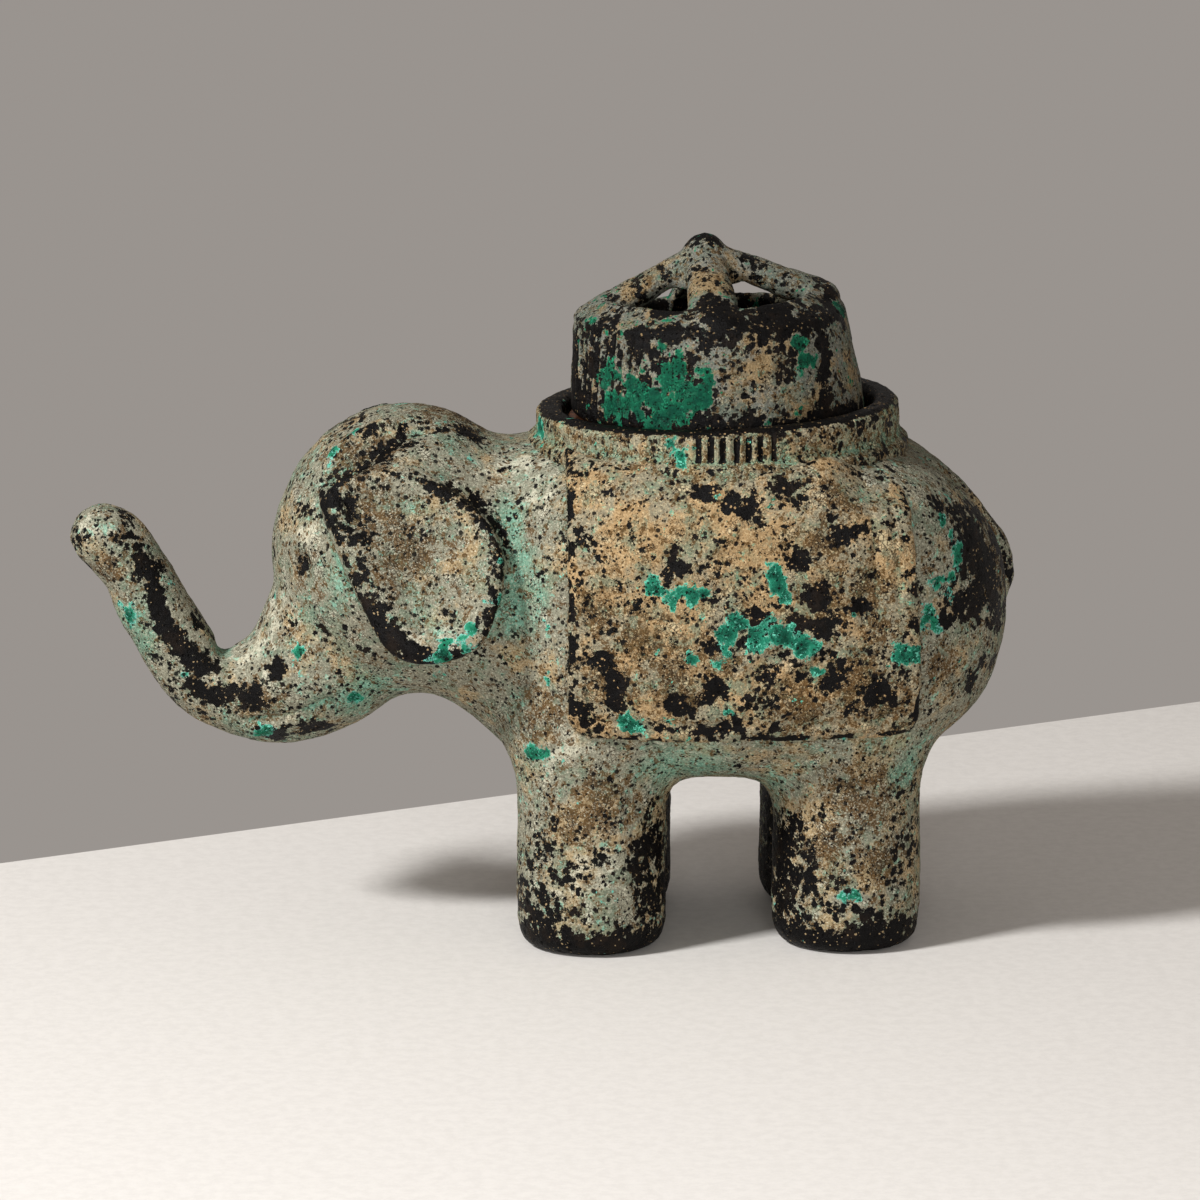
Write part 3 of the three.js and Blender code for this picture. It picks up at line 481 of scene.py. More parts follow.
# A teal wash low on the barrel, partly painted bounce light from the table on the belly
under = fall(z, 36, 60) * ramp(z, 30, 40)
on_legs = 0.34 * ramp(x, -10, 10) * fall(z, 30, 60)
corrode(
    skin, 1, 0.82, flakes=0.34, bare_and_shade=bare_and_shade, green=0.7 * dabbed(points, GREEN_DABS),
    tan=0.02 + on_legs + 0.4 * dabbed(points, TAN_DABS),
    haze_and_painted_light=0.08 + 0.16 * under + 0.55 * dabbed(points, HAZE_SHADOW_AND_BOUNCE_DABS), stain_and_shade=dabbed(points, STAIN_AND_SHADE_DABS),
    chalk_and_highlight=dabbed(points, CHALK_AND_HIGHLIGHT_DABS),
)


def part_off(piece, name, at, facing):
    """Saws a closed piece off another: what lies on the side that the saw's plane faces."""
    off = piece.copy()
    off.data = piece.data.copy()
    off.name = name
    bpy.context.scene.collection.objects.link(off)
    for half, dropped in ((piece, "clear_outer"), (off, "clear_inner")):
        cut = {"plane_co": at, "plane_no": facing, "use_fill": True, "threshold": 1e-7, dropped: True}
        edit(half, bpy.ops.mesh.bisect, **cut)
    return off


neck_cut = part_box("head_shell")[1].x - NECK_CUT_AHEAD * MM
trunk_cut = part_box("trunk")[1].x - TRUNK_CUT_AHEAD * MM
barrel = skin
barrel.name = "bronze_barrel"
head = part_off(barrel, "bronze_head", (neck_cut, 0, 0), (-1, 0, 0))
trunk = part_off(head, "bronze_trunk", (trunk_cut, 0, 0), (-1, 0, 0))
legs = loose_parts(part_off(barrel, "bronze_legs", (0, 0, LEG_CUT_HEIGHT * MM), (0, 0, -1)))

# The hollow of the barrel, open at the round bore that the ash liner hangs in
LINER_BORE = 27.6
BORE_LENGTH = 60
BORE_MIDDLE = 20  # under the top of the barrel
bpy.ops.mesh.primitive_uv_sphere_add(
    segments=64, ring_count=32, radius=0.5, location=(barrel_low + barrel_high) / 2
)
hollow = bpy.context.object
hollow.scale = barrel_high - barrel_low - Vector((2, 2, 2)) * BARREL_WALL * MM
bpy.ops.mesh.primitive_cylinder_add(
    vertices=96, radius=LINER_BORE * MM, depth=BORE_LENGTH * MM,
    location=(collar_x, 0, barrel_high.z - BORE_MIDDLE * MM),
)
bore = bpy.context.object
choose(hollow, bore)
bpy.ops.object.transform_apply()
modify(hollow, "BOOLEAN", operation="UNION", object=bore, solver="MANIFOLD")
modify(barrel, "BOOLEAN", operation="DIFFERENCE", object=hollow, solver="MANIFOLD")
bpy.data.objects.remove(hollow)
bpy.data.objects.remove(bore)


def linear(code):
    """A colour for a shader from its sRGB hex code."""
    parts = [int(code[i:i + 2], 16) / 255 for i in (1, 3, 5)]
    return [part / 12.92 if part <= 0.04045 else ((part + 0.055) / 1.055) ** 2.4 for part in parts] + [1]


def feed(tree, node, inputs):
    """Puts values or links on the inputs of a node."""
    for name, value in inputs.items():
        if isinstance(value, bpy.types.NodeSocket):
            tree.links.new(value, node.inputs[name])
        else:
            node.inputs[name].default_value = value


def add(tree, kind, inputs={}, out=0, **settings):
    """Adds a shader node with its settings and inputs, and gives its first output or the one named."""
    node = tree.nodes.new("ShaderNode" + kind)
    for name, value in settings.items():
        setattr(node, name, value)
    feed(tree, node, inputs)
    return node.outputs[out]


def blank(name):
    """A new material, its nodes, and the places on the piece in its own coordinates."""
    material = bpy.data.materials.new(name)
    material.use_nodes = True
    return material, material.node_tree, add(material.node_tree, "TexCoord", out="Object")


def sized(where, size, **inputs):
    """The inputs of a pattern whose lumps or cells are this wide, in millimetres."""
    return {"Vector": where, "Scale": 1 / (size * MM), **inputs}


def coat(tree, under, over, field, low, high, most=1, grit=None, ragged=0):
    """Lays a colour over another where a field rises from low to high, with an edge that grit makes ragged.
    Gives the new colour and the share that it covers."""
    if grit:
        field = add(tree, "Math", {0: grit, 1: ragged, 2: field}, operation="MULTIPLY_ADD")
    limits = {"From Min": low + ragged / 2, "From Max": high + ragged / 2, "To Max": most}
    share = add(tree, "MapRange", {"Value": field, **limits}, interpolation_type="SMOOTHSTEP")
    return add(tree, "MixRGB", {"Fac": share, "Color1": under, "Color2": over}), share


def coats(tree, under, *layers):
    """Lays coats over a colour, one after another."""
    for over, *settings in layers:
        under, _ = coat(tree, under, linear(over), *settings)
    return under


def patina(name, crust, tan, sage, brown, pale, haze_and_painted_light, teal, rim, malachite):
    """Old cast bronze: near-black metal under a mineral crust with pits, flaked patches and malachite.
    The metal is half glossy, and the crust and the malachite are dull."""
    material, tree, where = blank(name)
    tones = {}
    for tone in ("crust", "pit", "green", "tan", "haze_and_painted_light", "stain_and_shade", "chalk_and_highlight"):
        tones[tone] = add(tree, "Attribute", out="Fac", attribute_name=tone)
    # Clouds by their size in mm, with their detail and roughness
    clouds = {}
    for size, detail, roughness in (
        (10, 5, 0.65), (6, 5, 0.65), (4.3, 6, 0.65), (3.4, 5, 0.7), (2.6, 5, 0.7), (2, 4, 0.65), (1, 5, 0.7),
        (0.45, 3, 0.75),
    ):
        clouds[size] = add(tree, "TexNoise", sized(where, size, Detail=detail, Roughness=roughness))
    flecks, grit, fine = clouds[2.6], clouds[1], clouds[0.45]
    warp = add(tree, "TexNoise", sized(where, 0.9, Detail=2), out="Color")
    warp = add(tree, "VectorMath", {0: warp, 1: (0.5, 0.5, 0.5)}, operation="SUBTRACT")
    reach = 0.55 * MM, 0.55 * MM, 0.55 * MM
    ragged = add(tree, "VectorMath", {0: warp, 1: reach, 2: where}, operation="MULTIPLY_ADD")

    # Round spots of mixed sizes: large pits, small pits, and specks of crust left on the bare metal
    spots = []
    for spacing, smallest, widest in ((1.6, 0.03, 0.3), (0.95, 0.06, 0.26), (0.85, 0, 0.27)):
        distance = add(tree, "TexVoronoi", sized(ragged, spacing))
        chance = add(tree, "SeparateColor", {"Color": distance.node.outputs["Color"]})
        chance = add(tree, "Math", {0: chance, 1: 1.35}, operation="POWER")
        radius = add(tree, "Math", {0: chance, 1: widest - smallest, 2: smallest}, operation="MULTIPLY_ADD")
        spots.append(add(tree, "Math", {0: radius, 1: distance}, operation="SUBTRACT"))
    # Fields that are sums of others by weight: the specks, the dark seams between the grains of crust,
    # wide where it is stained or painted in shade, the malachite, the crust, and the pits that are in the
    # mesh
    grains = add(tree, "TexVoronoi", sized(ragged, 0.85), feature="DISTANCE_TO_EDGE")
    lobes = add(tree, "TexVoronoi", sized(ragged, 1.5))
    sums = []
    for total, *parts in (
        (spots[2], (flecks, 0.9)),
        (clouds[4.3], (grains, -1.5), (tones["stain_and_shade"], 0.12), (tones["chalk_and_highlight"], -0.2)),
        (tones["green"], (grit, 0.9), (flecks, 0.6)),
        (tones["crust"], (lobes, 0.7), (fine, 0.5)),
        (-0.18, (tones["pit"], 0.4)),
    ):
        for field, weight in parts:
            total = add(tree, "Math", {0: field, 1: weight, 2: total}, operation="MULTIPLY_ADD")
        sums.append(total)
    specks, seams, green, cover, deep_pits = sums
    pit_field = add(tree, "Math", {0: spots[0], 1: spots[1]}, operation="MAXIMUM")
    pit_field = add(tree, "Math", {0: pit_field, 1: deep_pits}, operation="MAXIMUM")

    # The metal, black with brown smoke and specks
    metal = coats(
        tree, linear("#040303"), ("#0f0d0b", fine, 0.55, 0.75), ("#1a120b", clouds[6], 0.5, 0.68, 0.7),
        (tan, specks, 0.43, 0.51, 0.8),
    )
    # The crust: colour, size of its clouds in mm, the tone that favours it and by how much, where it starts
    # and is full, how strong it is and how ragged
    # The pale coat is partly painted highlight, the haze coat partly painted shadow and bounce light, and the
    # brown coat partly painted shade, where their tones were dabbed for it
    mineral = linear(crust)
    for colour, size, tone, weight, low, high, most, edge in (
        (tan, 10, "tan", 0.35, 0.52, 0.7, 0.92, 0.4),
        (sage, 6, "haze_and_painted_light", 0.04, 0.5, 0.6, 0.8, 0.4),
        (pale, 4.3, "chalk_and_highlight", 0.14, 0.55, 0.68, 0.7, 0.4),
        (haze_and_painted_light, 3.4, "haze_and_painted_light", 1.2, 0.7, 1.5, 0.85, 0.4),
        (teal, 2.6, "haze_and_painted_light", 0.1, 0.6, 0.66, 0.75, 0.3),
        (brown, 2, "stain_and_shade", 0.19, 0.55, 0.64, 0.88, 0.5),
    ):
        field = add(tree, "Math", {0: tones[tone], 1: weight, 2: clouds[size]}, operation="MULTIPLY_ADD")
        mineral, _ = coat(tree, mineral, linear(colour), field, low, high, most, grit, edge)
    mineral = coats(
        tree, mineral, ("#2b2217", seams, 0.46, 0.54, 0.8, fine, 0.3), ("#3b3324", grit, 0.5, 0.3, 0.52),
        ("#2c2619", fine, 0.54, 0.32, 0.46), (pale, fine, 0.54, 0.68, 0.66),
    )
    # The malachite: pale at its rim and darker towards its middle
    ore = coats(
        tree, linear(rim), (malachite, green, 1.2, 1.34), ("#07382a", green, 1.34, 1.8),
        ("#0a3a2c", clouds[3.4], 0.5, 0.6, 0.75, fine, 0.4), (rim, flecks, 0.58, 0.68, 0.8, fine, 0.7),
        ("#0a2018", grit, 0.47, 0.36, 0.8, fine, 0.3), (rim, fine, 0.6, 0.74, 0.5),
        ("#0b0908", specks, 0.42, 0.5, 0.85),
    )
    surface, covered = coat(tree, metal, mineral, cover, 1.02, 1.1, 1, grit, 0.9)
    surface, _ = coat(tree, surface, ore, green, 1.2, 1.26, 1, fine, 0.25)
    surface, pitted = coat(tree, surface, linear("#0b0908"), pit_field, -0.05, 0.05, 0.94)
    height = grit
    for field, weight in ((fine, 0.4), (covered, 0.9), (pitted, -1.1)):
        height = add(tree, "Math", {0: field, 1: weight, 2: height}, operation="MULTIPLY_ADD")
    feed(tree, tree.nodes["Principled BSDF"], {
        "Base Color": surface,
        "Roughness": add(tree, "MapRange", {"Value": covered, "To Min": 0.5, "To Max": 0.9}),
        "Normal": add(tree, "Bump", {"Height": height, "Strength": 1, "Distance": 0.35 * MM}),
        "Specular IOR Level": 0.1,
    })
    return material


# Long-buried bronze under a full crust: chalky grey-green with black pits, which looks grainy and dull
crusted_bronze = patina(
    "crusted_bronze", crust="#838170", tan="#9f8966", sage="#697563", brown="#523919", pale="#c3c0ab",
    haze_and_painted_light="#658f7a", teal="#7aab96", rim="#74bfb0", malachite="#1f7457",
)


def dress(piece, material, slot, body, *nodes):
    """Gives a finished piece its material, its place in the frame and the castings that it stands for."""
    piece.data.materials.clear()
    piece.data.materials.append(material)
    choose(piece)
    bpy.ops.object.shade_smooth_by_angle(angle=math.radians(50))
    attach(piece, body)
    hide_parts(*nodes)


dress(barrel, crusted_bronze, "bronze_crust", "elephant", "barrel_shell", "tail")
dress(head, crusted_bronze, "bronze_crust", "elephant", "head_shell", "left_ear", "right_ear")
dress(trunk, crusted_bronze, "bronze_crust", "elephant", "trunk")
for leg in legs:
    middle = places(leg).mean(axis=0)
    end = "rear" if middle[0] * MM > collar_x else "front"
    side = "left" if middle[1] < 0 else "right"
    leg.name = "bronze_" + end + "_" + side + "_leg"
    dress(leg, crusted_bronze, "bronze_crust", "elephant", end + "_" + side + "_leg")

# The saddle cloth
# A raised panel on each flank, cast in bronze and brazed on, with a border and a worn lozenge in low
# relief. Its edges are rubbed down to dark metal, and malachite has grown in the middle of the left one.
PANEL_STEP = 0.7
PANEL_FILL = 0.3
BORDER_DEPTH = 0.6
LOZENGE_RISE = 0.9
LOZENGE_MIDDLE = 27  # over the hem
LOZENGE_HALF_LENGTH = 24
LOZENGE_HALF_HEIGHT = 19
PANEL_LUMPS = 0.5
PANEL_FLARE = 2.4, 0.5, 0  # of the back edge at the hem
PANEL_ROUND = -0.8, 1.6, -3.4  # of the upper back corner
PANEL_GREEN = [
    (34.5, -44, 70.4, 4.6), (37, -44, 75, 3), (40.5, -44, 69.8, 4.4), (45.5, -44, 71.4, 4.6),
    (50, -44, 69.6, 3.6), (53, -44, 68.6, 2.4), (19.8, -43.3, 82, 2.8), (23.5, -43.5, 79.4, 3),
    (27.5, -43.7, 79.8, 2.6), (30, -43.8, 79.8, 2.4), (44.3, -43.8, 84.2, 2.2), (45, -43.8, 81.5, 2.6),
    (46.4, -43.8, 79, 2.4), (71.3, -40.2, 66, 3.6), (74, -39.4, 66.4, 2.6), (14.5, -41.5, 52, 3),
    (27.5, -43.8, 66.4, 1.8), (36, -43.2, 54.6, 2), (52.7, -43.6, 63.7, 1.8), (65, -42, 53, 1.8),
]
PANEL_BARE = [
    (31, -42, 101, 2.6), (36, -42, 99, 2.6), (40, -42.5, 97, 3.2), (47, -41, 101.5, 3.6),
    (24, -43.6, 86.5, 2.4), (49.6, -43.8, 87.5, 2.6), (53.5, -43.7, 79.4, 3), (42, -44, 74.6, 2.2),
    (50, -44, 73.6, 2), (55, -43.5, 73, 2.4), (10, -41, 66, 2.6), (12, -41.3, 61, 3),
    (12.5, -41.3, 57, 2.6), (5.5, -39.5, 52, 3), (32.5, -43.6, 60, 2.4), (25, -43, 56, 3.2),
    (57, -43, 62, 2.8), (62, -42.6, 77, 2.6), (66, -41.8, 58, 3), (60, -42, 92, 2.4),
]
PANEL_TAN = [(12, -41, 88, 10), (20, -43, 70, 9), (30, -43.6, 95, 8), (40, -43.8, 86, 8)]
PANEL_STAIN = [
    (8.4, -40.5, 76, 5), (17, -42.5, 70, 5), (11, -41, 62, 6), (23, -43, 64, 5), (33, -43.8, 66, 4),
    (49.6, -43.5, 56, 6), (60, -42.6, 60, 7), (68, -41.5, 56, 5), (57, -43.4, 78, 5), (64, -42, 80, 5),
    (66, -42, 72, 4), (55, -43.6, 90, 4), (26, -43, 58, 4), (58, -42, 100, 4),
]
PANEL_HEM = [
    [(17, -42, 51), (37, -43, 51.2)], [(45, -43, 51.2), (52, -43, 51)], [(66, -41.5, 51.5), (70, -41, 55)],
]
# Bronze that hands and cloths have rubbed: a warm, thin crust of tan and rust, broken by more dark metal
worn_bronze = patina(
    "worn_bronze", crust="#89826d", tan="#a3865f", sage="#6d7763", brown="#4f3616", pale="#c9b893",
    haze_and_painted_light="#5f8570", teal="#6f9a80", rim="#6ac6ac", malachite="#1d6c54",
)


def corners_of(node):
    """The lowest and the highest corner of a casting, in millimetres."""
    return [np.array(end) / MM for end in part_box(node)]


for side, sign in (("left", 1), ("right", -1)):
    node = side + "_saddle_panel"
    panel = cast("bronze_" + node, node)
    modify(panel, "DISPLACE", strength=PANEL_FILL * MM, mid_level=0)
    modify(panel, "REMESH", mode="VOXEL", voxel_size=PANEL_STEP * MM)
    low, high = corners_of(node)
    x, y, z = places(panel).T
    from_edge = np.minimum.reduce([x - low[0], high[0] - x, z - low[2]])
    relax(panel, 40, 0.15 + 0.85 * ramp(from_edge, 0.5, 3))
    points = places(panel)
    facing = facings(panel)
    x, y, z = points.T
    out = ramp(-sign * facing[:, 1], 0.1, 0.5)
    along = x - (low[0] + high[0]) / 2
    up = z - (low[2] + LOZENGE_MIDDLE)
    border = bell(from_edge - 3.6, 0.8) + bell(high[0] - x - 8, 0.9)
    lozenge = np.abs(along) / LOZENGE_HALF_LENGTH + np.abs(up) / LOZENGE_HALF_HEIGHT
    rings = bell(lozenge - 1, 0.07) + 0.8 * bell(lozenge - 0.55, 0.09)
    worn = ramp(cloud(points, 12, 3, 3), -0.5, 0.2)
    height = -BORDER_DEPTH * border * worn + LOZENGE_RISE * rings * worn
    height = height + PANEL_LUMPS * cloud(points, 9, 3, 5)
    points = points + facing * (out * height)[:, None]
    # The back edge runs out towards the hem, and the upper back corner is rounded into the barrel
    flared = ramp(along, 8, 29) * fall(points[:, 2], 62, 102)
    rounded = ramp(along, 16, 29) * ramp(points[:, 2], 95, 103)
    flare, turn_in = (np.multiply(way, (1, sign, 1)) for way in (PANEL_FLARE, PANEL_ROUND))
    points = points + flared[:, None] * flare + rounded[:, None] * turn_in
    put(panel, points)
    points = places(panel)
    seen = points * (1, sign, 1)
    if sign < 0:
        seen[:, 0] = low[0] + high[0] - seen[:, 0]
    sides = fall(from_edge, 0.3, 1.5) * ramp(cloud(points, 5, 3, 9), 0, 0.2)
    rubbed = np.maximum.reduce([sides, *(bell(away_from(seen, line), 1.5) for line in PANEL_HEM)])
    corrode(
        panel, 11 + sign, 0.72, rubbed=0.12, bare_and_shade=np.maximum(0.8 * dabbed(seen, PANEL_BARE), 0.8 * rubbed),
        green=0.8 * dabbed(seen, PANEL_GREEN), tan=0.25 + 0.45 * dabbed(seen, PANEL_TAN), haze_and_painted_light=0.05,
        stain_and_shade=dabbed(seen, PANEL_STAIN), relief=1.2,
    )
    dress(panel, worn_bronze, "bronze_worn", "elephant", node)

# The collar of the vessel
# A ring brazed on the back, with a rebate that the lid stands in and a ledge that carries the liner.
# Its outside was fluted; the flutes still show in front, where black metal lies between them.
COLLAR_RADIUS = 38
COLLAR_TOP = 112.8
COLLAR_LIP = 5.3
COLLAR_LEAN = 2  # degrees that the rim falls towards the head
COLLAR_STEP = 0.6
REBATE_DEPTH = 5
LEDGE_WIDTH = 5.4
COLLAR_FOOT = 99
COLLAR_FLARE = 2  # the foot of the ring runs out this much, in a hollow curve
COLLAR_FLARE_DROP = 2.4  # from the ledge to the bottom of that curve
COLLAR_BEVEL = 1.2
FLUTE_PITCH = 2.6
COLLAR_GREEN = [(25, -37, 108, 3), (-1, -6, 108, 4), (20, 37, 108, 5)]


def turned(name, profile, sides=192):
    """A ring or a cup on the collar's axis, turned from (radius, height) points in millimetres."""
    radius, height = profile[0]
    bpy.ops.mesh.primitive_circle_add(vertices=sides, radius=radius * MM, location=(collar_x, 0, height * MM))
    piece = bpy.context.object
    piece.name = name
    bpy.ops.object.mode_set(mode="EDIT")
    bpy.ops.mesh.select_all(action="SELECT")
    for wider, higher in profile[1:]:
        rise = (0, 0, (higher - height) * MM)
        bpy.ops.mesh.extrude_edges_move(TRANSFORM_OT_translate={"value": rise})
        share = wider / radius
        bpy.ops.transform.resize(value=(share, share, 1), center_override=(collar_x, 0, higher * MM))
        radius, height = wider, higher
    bpy.ops.mesh.select_all(action="SELECT")
    bpy.ops.mesh.remove_doubles(threshold=0.05 * MM)
    bpy.ops.mesh.normals_make_consistent(inside=False)
    bpy.ops.object.mode_set(mode="OBJECT")
    bpy.ops.object.transform_apply()
    return piece


def leaned(points, degrees, low, high):
    """Points whose upper part falls towards the head by an angle, and is level at the height low."""
    share = np.clip((points[:, 2] - low) / (high - low), 0, 1)
    leaning = points.copy()
    leaning[:, 2] += math.tan(math.radians(degrees)) * (points[:, 0] - axis) * share
    return leaning


def corner(radius, height, size, start, end, steps=6):
    """Points of a round corner in a profile, from one angle to another in degrees."""
    angles = np.radians(np.linspace(start, end, steps))
    return [(radius + size * math.cos(angle), height + size * math.sin(angle)) for angle in angles]


rebate = COLLAR_RADIUS - COLLAR_LIP
bore_radius = rebate - LEDGE_WIDTH
ledge = COLLAR_TOP - REBATE_DEPTH
collar = turned("bronze_collar", [
    (bore_radius, COLLAR_FOOT), (COLLAR_RADIUS + COLLAR_FLARE, COLLAR_FOOT),
    *corner(
        COLLAR_RADIUS + COLLAR_FLARE, ledge - COLLAR_FLARE_DROP + COLLAR_FLARE, COLLAR_FLARE, 270, 180
    ),
    (COLLAR_RADIUS, COLLAR_TOP - COLLAR_BEVEL), (COLLAR_RADIUS - COLLAR_BEVEL, COLLAR_TOP),
    (rebate + 1, COLLAR_TOP), (rebate, COLLAR_TOP - 1), (rebate, ledge), (bore_radius, ledge),
    (bore_radius, COLLAR_FOOT),
])
modify(collar, "REMESH", mode="VOXEL", voxel_size=COLLAR_STEP * MM)
points = leaned(places(collar), COLLAR_LEAN, ledge, COLLAR_TOP)
put(collar, points)
relax(collar, 3, np.ones(len(points)))
points = places(collar)
facing = facings(collar)
x, y, z = points.T
round_angle = np.arctan2(y, x - axis)
outer = ramp(np.hypot(x - axis, y), 36.5, 37.5) * fall(facing[:, 2], 0.2, 0.6)
in_front = bell(np.degrees(round_angle) + 88, 14)
flutes = np.cos(round_angle * COLLAR_RADIUS / FLUTE_PITCH * 2 * math.pi)
below_rim = fall(z, COLLAR_TOP - 1.8, COLLAR_TOP - 0.6) * ramp(z, 105.6, 107)
put(collar, points + facing * (outer * below_rim * flutes * (0.06 + 0.34 * in_front))[:, None])
points = places(collar)
x, y, z = points.T
rim = ramp(z - math.tan(math.radians(COLLAR_LEAN)) * (x - axis), 112, 112.7)
inside = fall(np.hypot(x - axis, y), 33, 34.5)
fluted = outer * below_rim * ramp(in_front, 0.3, 0.5)
ridges = 0.7 * fluted * ramp(flutes, -0.1, 0.3)
grooves = fluted * ramp(-flutes, 0.1, 0.5)
corrode(
    collar, 21, 0.72, rubbed=0.25, stain_and_shade=0.35,
    bare_and_shade=np.maximum.reduce([0.85 * rim, 0.7 * inside, 1.6 * grooves]) - ridges,
    green=0.7 * dabbed(points, COLLAR_GREEN), tan=0.05, haze_and_painted_light=0.3, relief=0.8,
)
dress(collar, worn_bronze, "bronze_worn", "elephant", "collar_ring")

# The ash liner
# A cup raised from sheet copper, hung in the collar by its flange. Heat and smoke have turned it brown.
LINER_RADIUS = 26.4
LINER_WALL = 1.8
LINER_CORNER = 5
FLANGE_THICKNESS = 1.5
NEXT_TO_NOTHING = 0.02  # radius at which a cup's bottom closes
liner_low, liner_high = corners_of("ash_liner")
flange = (liner_high[0] - liner_low[0]) / 2
liner_foot, liner_top = liner_low[2], liner_high[2]
inner = LINER_RADIUS - LINER_WALL
liner_bend = LINER_RADIUS - LINER_CORNER, liner_foot + LINER_CORNER
liner = turned("copper_liner", [
    (NEXT_TO_NOTHING, liner_foot),
    *corner(*liner_bend, LINER_CORNER, -90, 0),
    (LINER_RADIUS, liner_top - FLANGE_THICKNESS),
    (flange - 0.3, liner_top - FLANGE_THICKNESS), (flange, liner_top - FLANGE_THICKNESS + 0.4),
    (flange, liner_top - 0.4), (flange - 0.4, liner_top), (inner + 0.8, liner_top), (inner, liner_top - 0.8),
    *corner(*liner_bend, LINER_CORNER - LINER_WALL, 0, -90),
    (NEXT_TO_NOTHING, liner_foot + LINER_WALL),
])
# Hammered sheet copper, brown from smoke: half-glossy metal with soft reflections, broken by hammer marks
# 4 mm wide and clouds of soot
copper, tree, where = blank("smoked_copper")
marks = add(tree, "TexVoronoi", sized(where, 4, Randomness=0.8), feature="SMOOTH_F1")
smoke = add(tree, "TexNoise", sized(where, 9, Detail=6, Roughness=0.65))
share = add(tree, "MapRange", {"Value": smoke, "From Min": 0.4, "From Max": 0.62})
feed(tree, tree.nodes["Principled BSDF"], {
    "Base Color": add(
        tree, "MixRGB", {"Fac": share, "Color1": linear("#8a5234"), "Color2": linear("#33241c")}
    ),
    "Metallic": 0.9,
    "Roughness": add(tree, "MapRange", {"Value": smoke, "To Min": 0.28, "To Max": 0.6}),
    "Normal": add(tree, "Bump", {"Height": marks, "Strength": 0.35, "Distance": 0.5 * MM}),
})
dress(liner, copper, "copper_liner", "liner", "ash_liner")

# The ash
# A bed of fine wood ash, pressed down by hand and dished in the middle, where the incense stands.
ASH_DISH = 2.5
ASH_CORNER = 3.2
ash_low, ash_high = corners_of("ash_bed")
ash_radius = (ash_high[0] - ash_low[0]) / 2
ash_foot, ash_rim = ash_low[2], ash_high[2]
ash = turned("wood_ash", [
    (NEXT_TO_NOTHING, ash_foot), *corner(ash_radius - ASH_CORNER, ash_foot + ASH_CORNER, ASH_CORNER, -90, 0),
    *((ash_radius * share, ash_rim - ASH_DISH * (1 - share * share)) for share in np.linspace(1, 0.02, 28)),
    (NEXT_TO_NOTHING, ash_rim - ASH_DISH),
], 96)
points = places(ash)
top = ramp(points[:, 2], ash_rim - ASH_DISH - 0.6, ash_rim - ASH_DISH - 0.1)
points[:, 2] += top * np.minimum(0, 0.5 * cloud(points, 7, 3, 4) + 0.25 * cloud(points, 2.2, 2, 6) - 0.2)
put(ash, points)
# Wood ash, sifted and pressed: pale grey powder without any shine, with grains drawn 0.8 mm wide, so
# that they show
pale_ash, tree, where = blank("wood_ash")
grains = add(tree, "TexNoise", sized(where, 0.8, Detail=5, Roughness=0.75))
share = add(tree, "MapRange", {"Value": grains, "From Min": 0.35, "From Max": 0.65})
feed(tree, tree.nodes["Principled BSDF"], {
    "Base Color": add(
        tree, "MixRGB", {"Fac": share, "Color1": linear("#8f8a83"), "Color2": linear("#cdc7bc")}
    ),
    "Roughness": 1,
    "Normal": add(tree, "Bump", {"Height": grains, "Strength": 0.6, "Distance": 0.3 * MM}),
})
dress(ash, pale_ash, "wood_ash", "liner", "ash_bed")

# The lid
# A loose bronze drum whose four ribs rise to a finial, with a smoke vent between each two of them.
# It is the greenest casting: malachite covers the front left of the drum, and the shoulder is worn dark.
LID_RADIUS = 30.9
LID_LEAN = 2.6  # degrees that the top falls towards the head
LID_SHIFT = 2  # and the way that it moves towards the head
LID_STEP = 0.6
LID_WALL = 4
LID_TAPER = 2.4
LID_FOOT_ROUND = 2
LID_CORNER_ROUND = 1.6
LID_CORNER_HEIGHT = 22.6  # from the foot to the top of the wall, where the sloping shoulder starts
LID_HEIGHT = 26
LID_FLUTE_PITCH = 2.4
LID_BAND = 130.5  # height of a worn groove round the drum
VENT_RADIUS = 21
VENT_DIP = 4  # the back of the shoulder is lower between the ribs, so that the vents can be seen through
RIB_HEM = 24.4, 124  # how far out the ribs start inside the wall, and how high
RIB_BEND = 24, 132.4  # where they bend over the shoulder
RIB_LEAN = 5  # degrees that these bends fall towards the head
RIB_CROWN = 144.2  # where their middle lines meet, under the finial
RIB_FOOT_WIDTH = 11.5
RIB_CROWN_WIDTH = 7.6
RIB_FLATNESS = 0.6  # thickness over width
FINIAL_SKIRT = 7.4, 3.4, 6.5  # radius at the bottom, radius at the top and height
lid_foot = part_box("lid_drum")[0].z / MM
lid_top = lid_foot + LID_HEIGHT
corner_height = lid_foot + LID_CORNER_HEIGHT
corner_radius = LID_RADIUS - LID_TAPER
ceiling = lid_top - LID_WALL
lid = turned("bronze_lid", [
    (LID_RADIUS - LID_WALL, lid_foot),
    *corner(LID_RADIUS - LID_FOOT_ROUND, lid_foot + LID_FOOT_ROUND, LID_FOOT_ROUND, -90, 0),
    *corner(corner_radius - LID_CORNER_ROUND, corner_height - LID_CORNER_ROUND, LID_CORNER_ROUND, 0, 65),
    (VENT_RADIUS + 1, lid_top), (VENT_RADIUS, lid_top - 0.8), (VENT_RADIUS, ceiling),
    (corner_radius - LID_WALL - 1, ceiling - 2.4), (corner_radius - LID_WALL, ceiling - 5),
    (LID_RADIUS - LID_WALL, lid_foot),
])
points = leaned(places(lid), LID_LEAN, lid_foot, lid_top)
points[:, 0] -= LID_SHIFT * ramp(points[:, 2], lid_foot, lid_top)
put(lid, points)
finial_low, finial_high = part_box("lid_finial")
crown = Vector(((finial_low.x + finial_high.x) / 2, 0, RIB_CROWN * MM))
